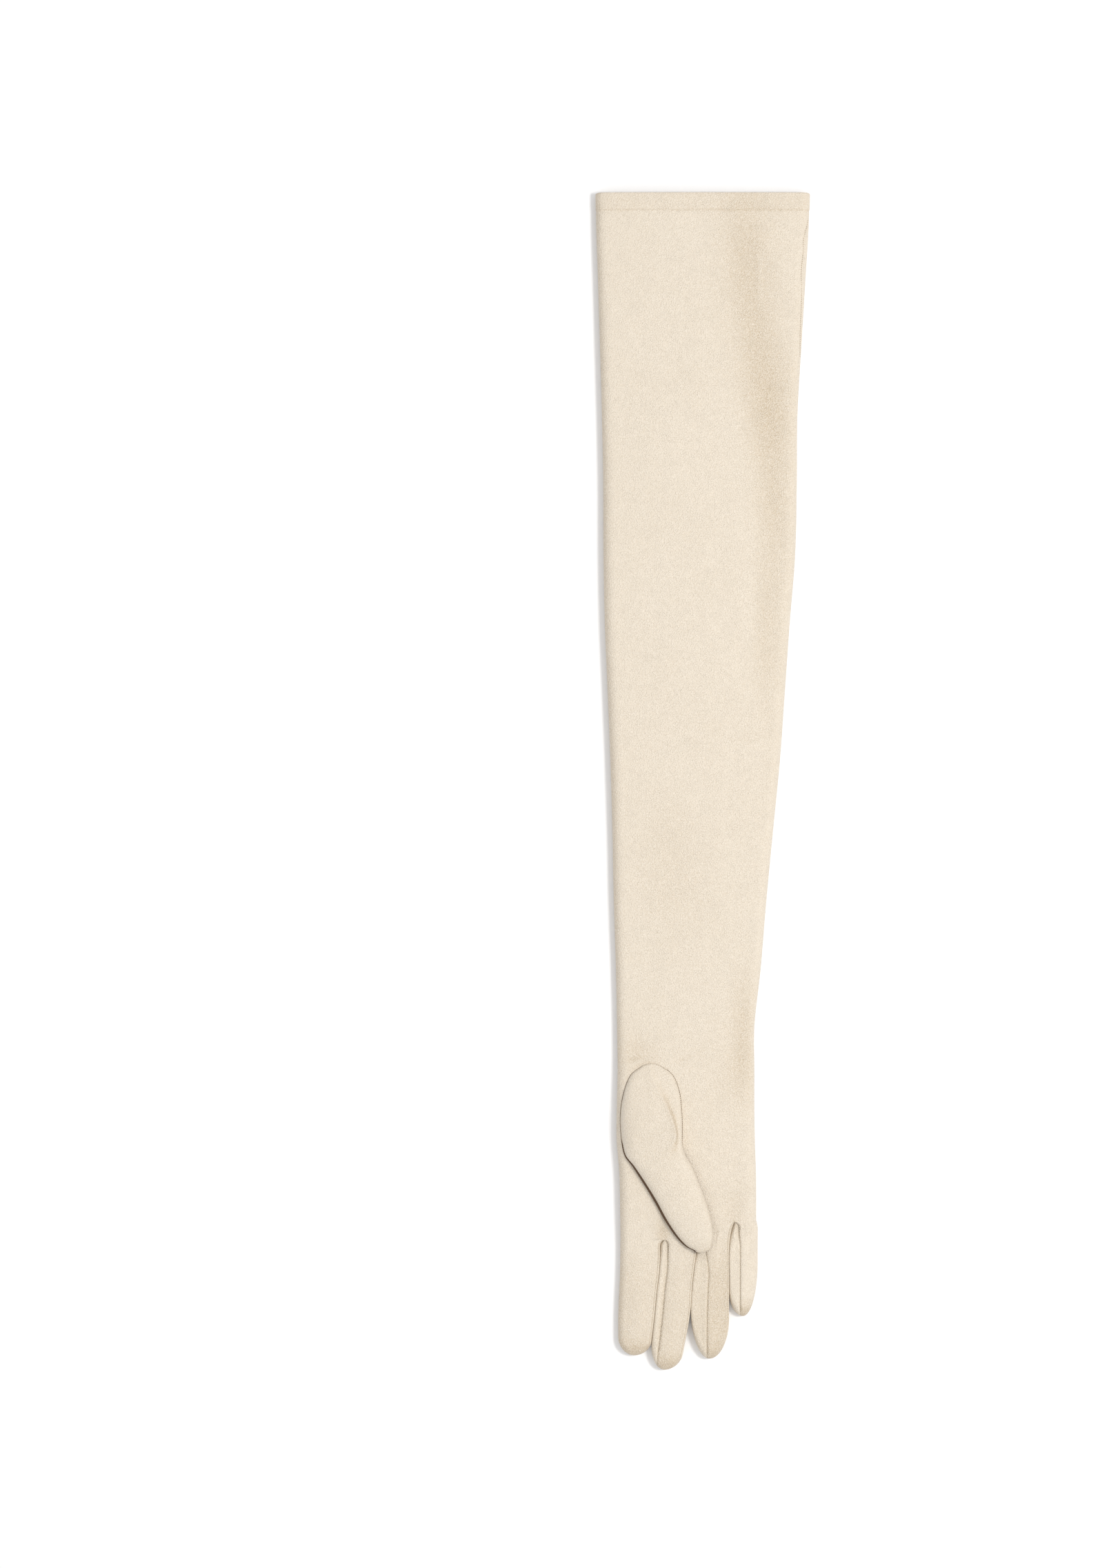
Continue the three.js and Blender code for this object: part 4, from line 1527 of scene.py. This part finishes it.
    def mottle(self) -> Socket:
        """Soft broad blotches, from 0 to 1."""
        nodes, links = self.tree.nodes, self.tree.links
        noise = nodes.new("ShaderNodeTexNoise")
        noise.inputs["Detail"].default_value = 3.0
        links.new(self.given.outputs["Place"], noise.inputs["Vector"])
        links.new(self.given.outputs["Mottling"], noise.inputs["Scale"])
        spread = nodes.new("ShaderNodeMapRange")
        spread.inputs["From Min"].default_value = self.grain.blotch_range[0]
        spread.inputs["From Max"].default_value = self.grain.blotch_range[1]
        links.new(noise.outputs["Fac"], spread.inputs["Value"])
        return spread.outputs["Result"]

    def colour(self, broad: Socket, narrow: Socket, pebble: Socket, mottle: Socket) -> Socket:
        """The leather's colour: towards the darker colour in the furrows and the cracks of the
        grain, more so under painted shade, a little in the blotches, and as the painted shade attribute
        says from 0 to 1; from 1 to 2 it turns to the painted shadow colour.

        Args:
            broad: the broad wrinkles.
            narrow: the narrow wrinkles.
            pebble: the cushions between the cracks.
            mottle: the blotches.

        Returns:
            The colour's socket.
        """
        nodes, links = self.tree.nodes, self.tree.links
        grain = self.grain
        furrow = self.math("SUBTRACT", grain.furrow_level, self.math("ADD", broad, narrow))
        painted_shade_and_furrow = self.math("MINIMUM", self.given.outputs["Painted Shade And Furrow"], 1.0)
        marked = self.math("MULTIPLY", painted_shade_and_furrow, grain.furrow_in_painted_shade)
        marked = self.math("ADD", marked, grain.furrow_tint)
        cracks = self.math("MULTIPLY", self.math("SUBTRACT", 1.0, pebble), grain.crack_tint)
        furrow = self.math("MULTIPLY", self.math("ADD", furrow, cracks), marked)
        amount = self.math("ADD", furrow, self.math("MULTIPLY", mottle, grain.blotch_tint))
        amount = self.math("ADD", amount, self.math("MULTIPLY", painted_shade_and_furrow, grain.painted_shade_tint))
        blend = nodes.new("ShaderNodeMix")
        blend.data_type = "RGBA"
        blend.clamp_factor = True
        links.new(amount, blend.inputs["Factor"])
        links.new(self.given.outputs["Colour"], blend.inputs["A"])
        links.new(self.given.outputs["Hollow Colour"], blend.inputs["B"])
        # Painted shadow: from 1 to 2 the attribute turns the colour to the painted shadow colour
        painted_shadow = nodes.new("ShaderNodeMix")
        painted_shadow.data_type = "RGBA"
        painted_shadow.clamp_factor = True
        links.new(self.math("SUBTRACT", self.given.outputs["Painted Shade And Furrow"], 1.0), painted_shadow.inputs["Factor"])
        links.new(blend.outputs["Result"], painted_shadow.inputs["A"])
        painted_shadow.inputs["B"].default_value = (*PAINTED_SHADOW_COLOUR, 1.0)
        return painted_shadow.outputs["Result"]


class Finishes:
    """The materials of the glove, each made once."""

    def __init__(self) -> None:
        """Make the shared grain first."""
        self.grain = GrainGroup()
        self.made: dict[str, bpy.types.Material] = {}

    def of(self, leather: Leather) -> bpy.types.Material:
        """The material of a leather: the grain and the painted shade attribute feed colour, and the grain
        feeds roughness and a bump.
        """
        if leather.name in self.made:
            return self.made[leather.name]
        material = bpy.data.materials.new(leather.name)
        material.use_nodes = True
        tree = material.node_tree
        shader = tree.nodes["Principled BSDF"]
        place = tree.nodes.new("ShaderNodeTexCoord")
        painted_shade_and_furrow = tree.nodes.new("ShaderNodeAttribute")
        painted_shade_and_furrow.attribute_name = SHADE
        grain = tree.nodes.new("ShaderNodeGroup")
        grain.node_tree = self.grain.tree
        grain.inputs["Colour"].default_value = (*leather.colour, 1.0)
        grain.inputs["Hollow Colour"].default_value = (*leather.painted_shade_and_furrow, 1.0)
        grain.inputs["Pebbles"].default_value = leather.pebbles
        grain.inputs["Mottling"].default_value = leather.mottling
        grain.inputs["Rough"].default_value = leather.rough
        bump = tree.nodes.new("ShaderNodeBump")
        bump.inputs["Strength"].default_value = leather.strength
        bump.inputs["Distance"].default_value = leather.depth * MM
        tree.links.new(place.outputs["Object"], grain.inputs["Place"])
        tree.links.new(painted_shade_and_furrow.outputs["Fac"], grain.inputs["Painted Shade And Furrow"])
        tree.links.new(grain.outputs["Colour"], shader.inputs["Base Color"])
        tree.links.new(grain.outputs["Roughness"], shader.inputs["Roughness"])
        tree.links.new(grain.outputs["Height"], bump.inputs["Height"])
        tree.links.new(bump.outputs["Normal"], shader.inputs["Normal"])
        shader.inputs["Specular IOR Level"].default_value = leather.shine
        shader.inputs["Sheen Weight"].default_value = leather.sheen
        shader.inputs["Sheen Roughness"].default_value = leather.sheen_rough
        self.made[leather.name] = material
        return material

    def dress(self, piece: bpy.types.Object, outside: Leather, inside: Leather | None = None) -> None:
        """Give a piece its finish, and its inner side another one."""
        piece.data.materials.append(self.of(outside))
        if inside is not None:
            piece.data.materials.append(self.of(inside))


# Studio


@dataclass(frozen=True)
class SoftBox:
    """A square soft box: its name, its place and side in metres, its power and its colour."""

    name: str
    place: tuple[float, float, float]
    side: float
    power: float
    colour: tuple[float, float, float]


SOFT_BOXES = (
    SoftBox("right_box", (0.95, 0.1, 2.1), 0.45, 25.0, (1.0, 0.985, 0.96)),
    SoftBox("upper_box", (0.1, -0.2, 2.3), 1.1, 6.0, (1.0, 0.99, 0.97)),
)
ROOM_COLOUR = (0.98, 0.985, 1.0, 1.0)
ROOM_LIGHT = 0.7
FLOOR_COLOUR = (0.94, 0.94, 0.945, 1.0)
# How far the palm lies above the floor, in millimetres
PALM_LEVEL = 12.0


@dataclass(frozen=True)
class Studio:
    """Pale floor, soft light from the right and above, and a camera straight above.

    The picture's size and the glove's middle in it are pixels; the scale is millimetres a pixel.
    """

    picture_width: float = 1624.0
    picture_height: float = 2273.0
    picture_scale: float = 0.41
    middle_across: float = 1019.5
    middle_down: float = 1133.0
    lens: float = 100.0
    sensor: float = 36.0
    floor_side: float = 6.0
    floor_drop: float = 0.1
    far_end: float = 20.0

    def camera(self) -> bpy.types.Object:
        """The camera: as high above the palm as its lens needs to take in the picture's height."""
        high = self.picture_height * self.picture_scale
        distance = high * self.lens / self.sensor
        across = (self.picture_width / 2 - self.middle_across) * self.picture_scale
        along = (self.middle_down - self.picture_height / 2) * self.picture_scale
        data = bpy.data.cameras.new("overhead")
        data.lens = self.lens
        data.sensor_fit = "VERTICAL"
        data.sensor_height = self.sensor
        data.clip_end = self.far_end
        made = bpy.data.objects.new("overhead", data)
        made.location = (across * MM, along * MM, (distance + PALM_LEVEL) * MM)
        bpy.context.scene.collection.objects.link(made)
        bpy.context.scene.camera = made
        return made

    def floor(self) -> bpy.types.Object:
        """A plain pale floor just below the glove."""
        reach = self.floor_side / 2
        corners = [(-reach, -reach, 0), (reach, -reach, 0), (reach, reach, 0), (-reach, reach, 0)]
        mesh = bpy.data.meshes.new("floor")
        mesh.from_pydata([(x, y, -self.floor_drop * MM) for x, y, _ in corners], [], [(0, 1, 2, 3)])
        made = bpy.data.objects.new("floor", mesh)
        bpy.context.scene.collection.objects.link(made)
        material = bpy.data.materials.new("pale_floor")
        material.use_nodes = True
        shader = material.node_tree.nodes["Principled BSDF"]
        shader.inputs["Base Color"].default_value = FLOOR_COLOUR
        shader.inputs["Roughness"].default_value = 0.9
        shader.inputs["Specular IOR Level"].default_value = 0.1
        mesh.materials.append(material)
        return made

    def lamp(self, box: SoftBox) -> None:
        """Place a soft box so that it faces the glove."""
        data = bpy.data.lights.new(box.name, "AREA")
        data.shape = "SQUARE"
        data.size = box.side
        data.energy = box.power
        data.color = box.colour
        made = bpy.data.objects.new(box.name, data)
        made.location = box.place
        made.rotation_euler = (-Vector(box.place)).to_track_quat("-Z", "Y").to_euler()
        bpy.context.scene.collection.objects.link(made)

    def light(self) -> None:
        """The light: a bright room, a soft box from the right and a weak, broad one from above."""
        world = bpy.data.worlds.new("studio")
        bpy.context.scene.world = world
        world.use_nodes = True
        room = world.node_tree.nodes["Background"]
        room.inputs["Color"].default_value = ROOM_COLOUR
        room.inputs["Strength"].default_value = ROOM_LIGHT
        for box in SOFT_BOXES:
            self.lamp(box)
        bpy.context.scene.view_settings.view_transform = "Standard"


# Building


# Painted shade on the stitches of the side seam, as dark as the shadow in their groove
SIDE_SHADE = 1.15


def stitch_piece(name: str, seams: list[tuple[Array, float]], stitching: Stitching,
                 shade: float = 0.0) -> bpy.types.Object:
    """Make one mesh of the stitches along some seams.

    Args:
        name: the piece's name.
        seams: each a path and the side that it shows on, 1 above or -1 below.
        stitching: the stitches' sizes.
        shade: painted shade on the stitches.

    Returns:
        The new object.
    """
    work = Patchwork()
    for path, side in seams:
        lifted = path + np.array([0.0, 0.0, side * stitching.thick * 0.6])
        lifted[:, 2] = np.maximum(lifted[:, 2], stitching.thick / 2)
        stitching.add(work, lifted, np.array([0.0, 0.0, side]), shade)
    return work.mesh(name)


def side_seam_path(hand: Hand) -> Array:
    """The side seam's groove on the palm side, as points from the cuff down."""
    s = hand.sizes
    down = np.linspace(SIDE_SEAM[0, 0] + 2, SIDE_SEAM[-1, 0] - 6, 60)
    y = s.cuff_y - down
    middle, half, height = hand.outline(y)
    inward = curve(down, SIDE_SEAM[:, 0], SIDE_SEAM[:, 1])
    x = middle + half - inward
    rise = (height - s.crown) / 2
    over = np.clip(1 - inward / rise, 0.0, 1.0)
    z = rise + rise * np.sqrt(1 - over**2) - 0.3
    return np.stack([x, y, z], -1)


def settle(piece: bpy.types.Object, slot: Slot, *nodes: str) -> None:
    """Let a piece ride on the glove's body, take the place of its solids, and report it."""
    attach(piece, "root")
    if nodes:
        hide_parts(*nodes)
    LOG.info("%s: %d faces", piece.name, len(piece.data.polygons))


def main() -> None:
    """Build the glove's pieces in order, then the studio round it."""
    logging.basicConfig(level=logging.INFO, format="%(name)s %(message)s")
    low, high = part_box("trank")
    sizes = Sizes(length=(high[1] - low[1]) * PER_MM, cuff_width=(high[0] - low[0]) * PER_MM)
    studio = Studio()
    studio.camera()
    studio.floor()
    studio.light()
    finishes = Finishes()
    hand = Hand(sizes)
    trank = Trank(hand)
    thumb = Thumb(hand)
    skin = trank.build(thumb)
    finishes.dress(skin, CREAM, FLESH)
    settle(skin, Slot.LEATHER, "trank")
    for number in range(len(FINGERS) - 1):
        fork = Fork(trank, number).build()
        finishes.dress(fork, FORK_CREAM_LIGHTENED)
        settle(fork, Slot.FORK, f"fourchette_{FINGERS[number].name}_{FINGERS[number + 1].name}")
    cover = thumb.build()
    finishes.dress(cover, CREAM, FLESH)
    settle(cover, Slot.LEATHER, "thumb")
    hem = CuffHem(hand).build()
    finishes.dress(hem, FLESH)
    settle(hem, Slot.HEM, "cuff_hem")
    stitching = Stitching()
    side_seams = [(side_seam_path(hand), 1.0)]
    # The side seam's stitches carry painted shade
    for name, seams, shade in (("finger_stitches", trank.seams, 0.0), ("thumb_stitches", thumb.seams, 0.0),
                               ("side_stitches", side_seams, SIDE_SHADE)):
        stitches = stitch_piece(name, seams, stitching, shade)
        finishes.dress(stitches, THREAD)
        settle(stitches, Slot.LEATHER)


if __name__ == "__main__":
    main()
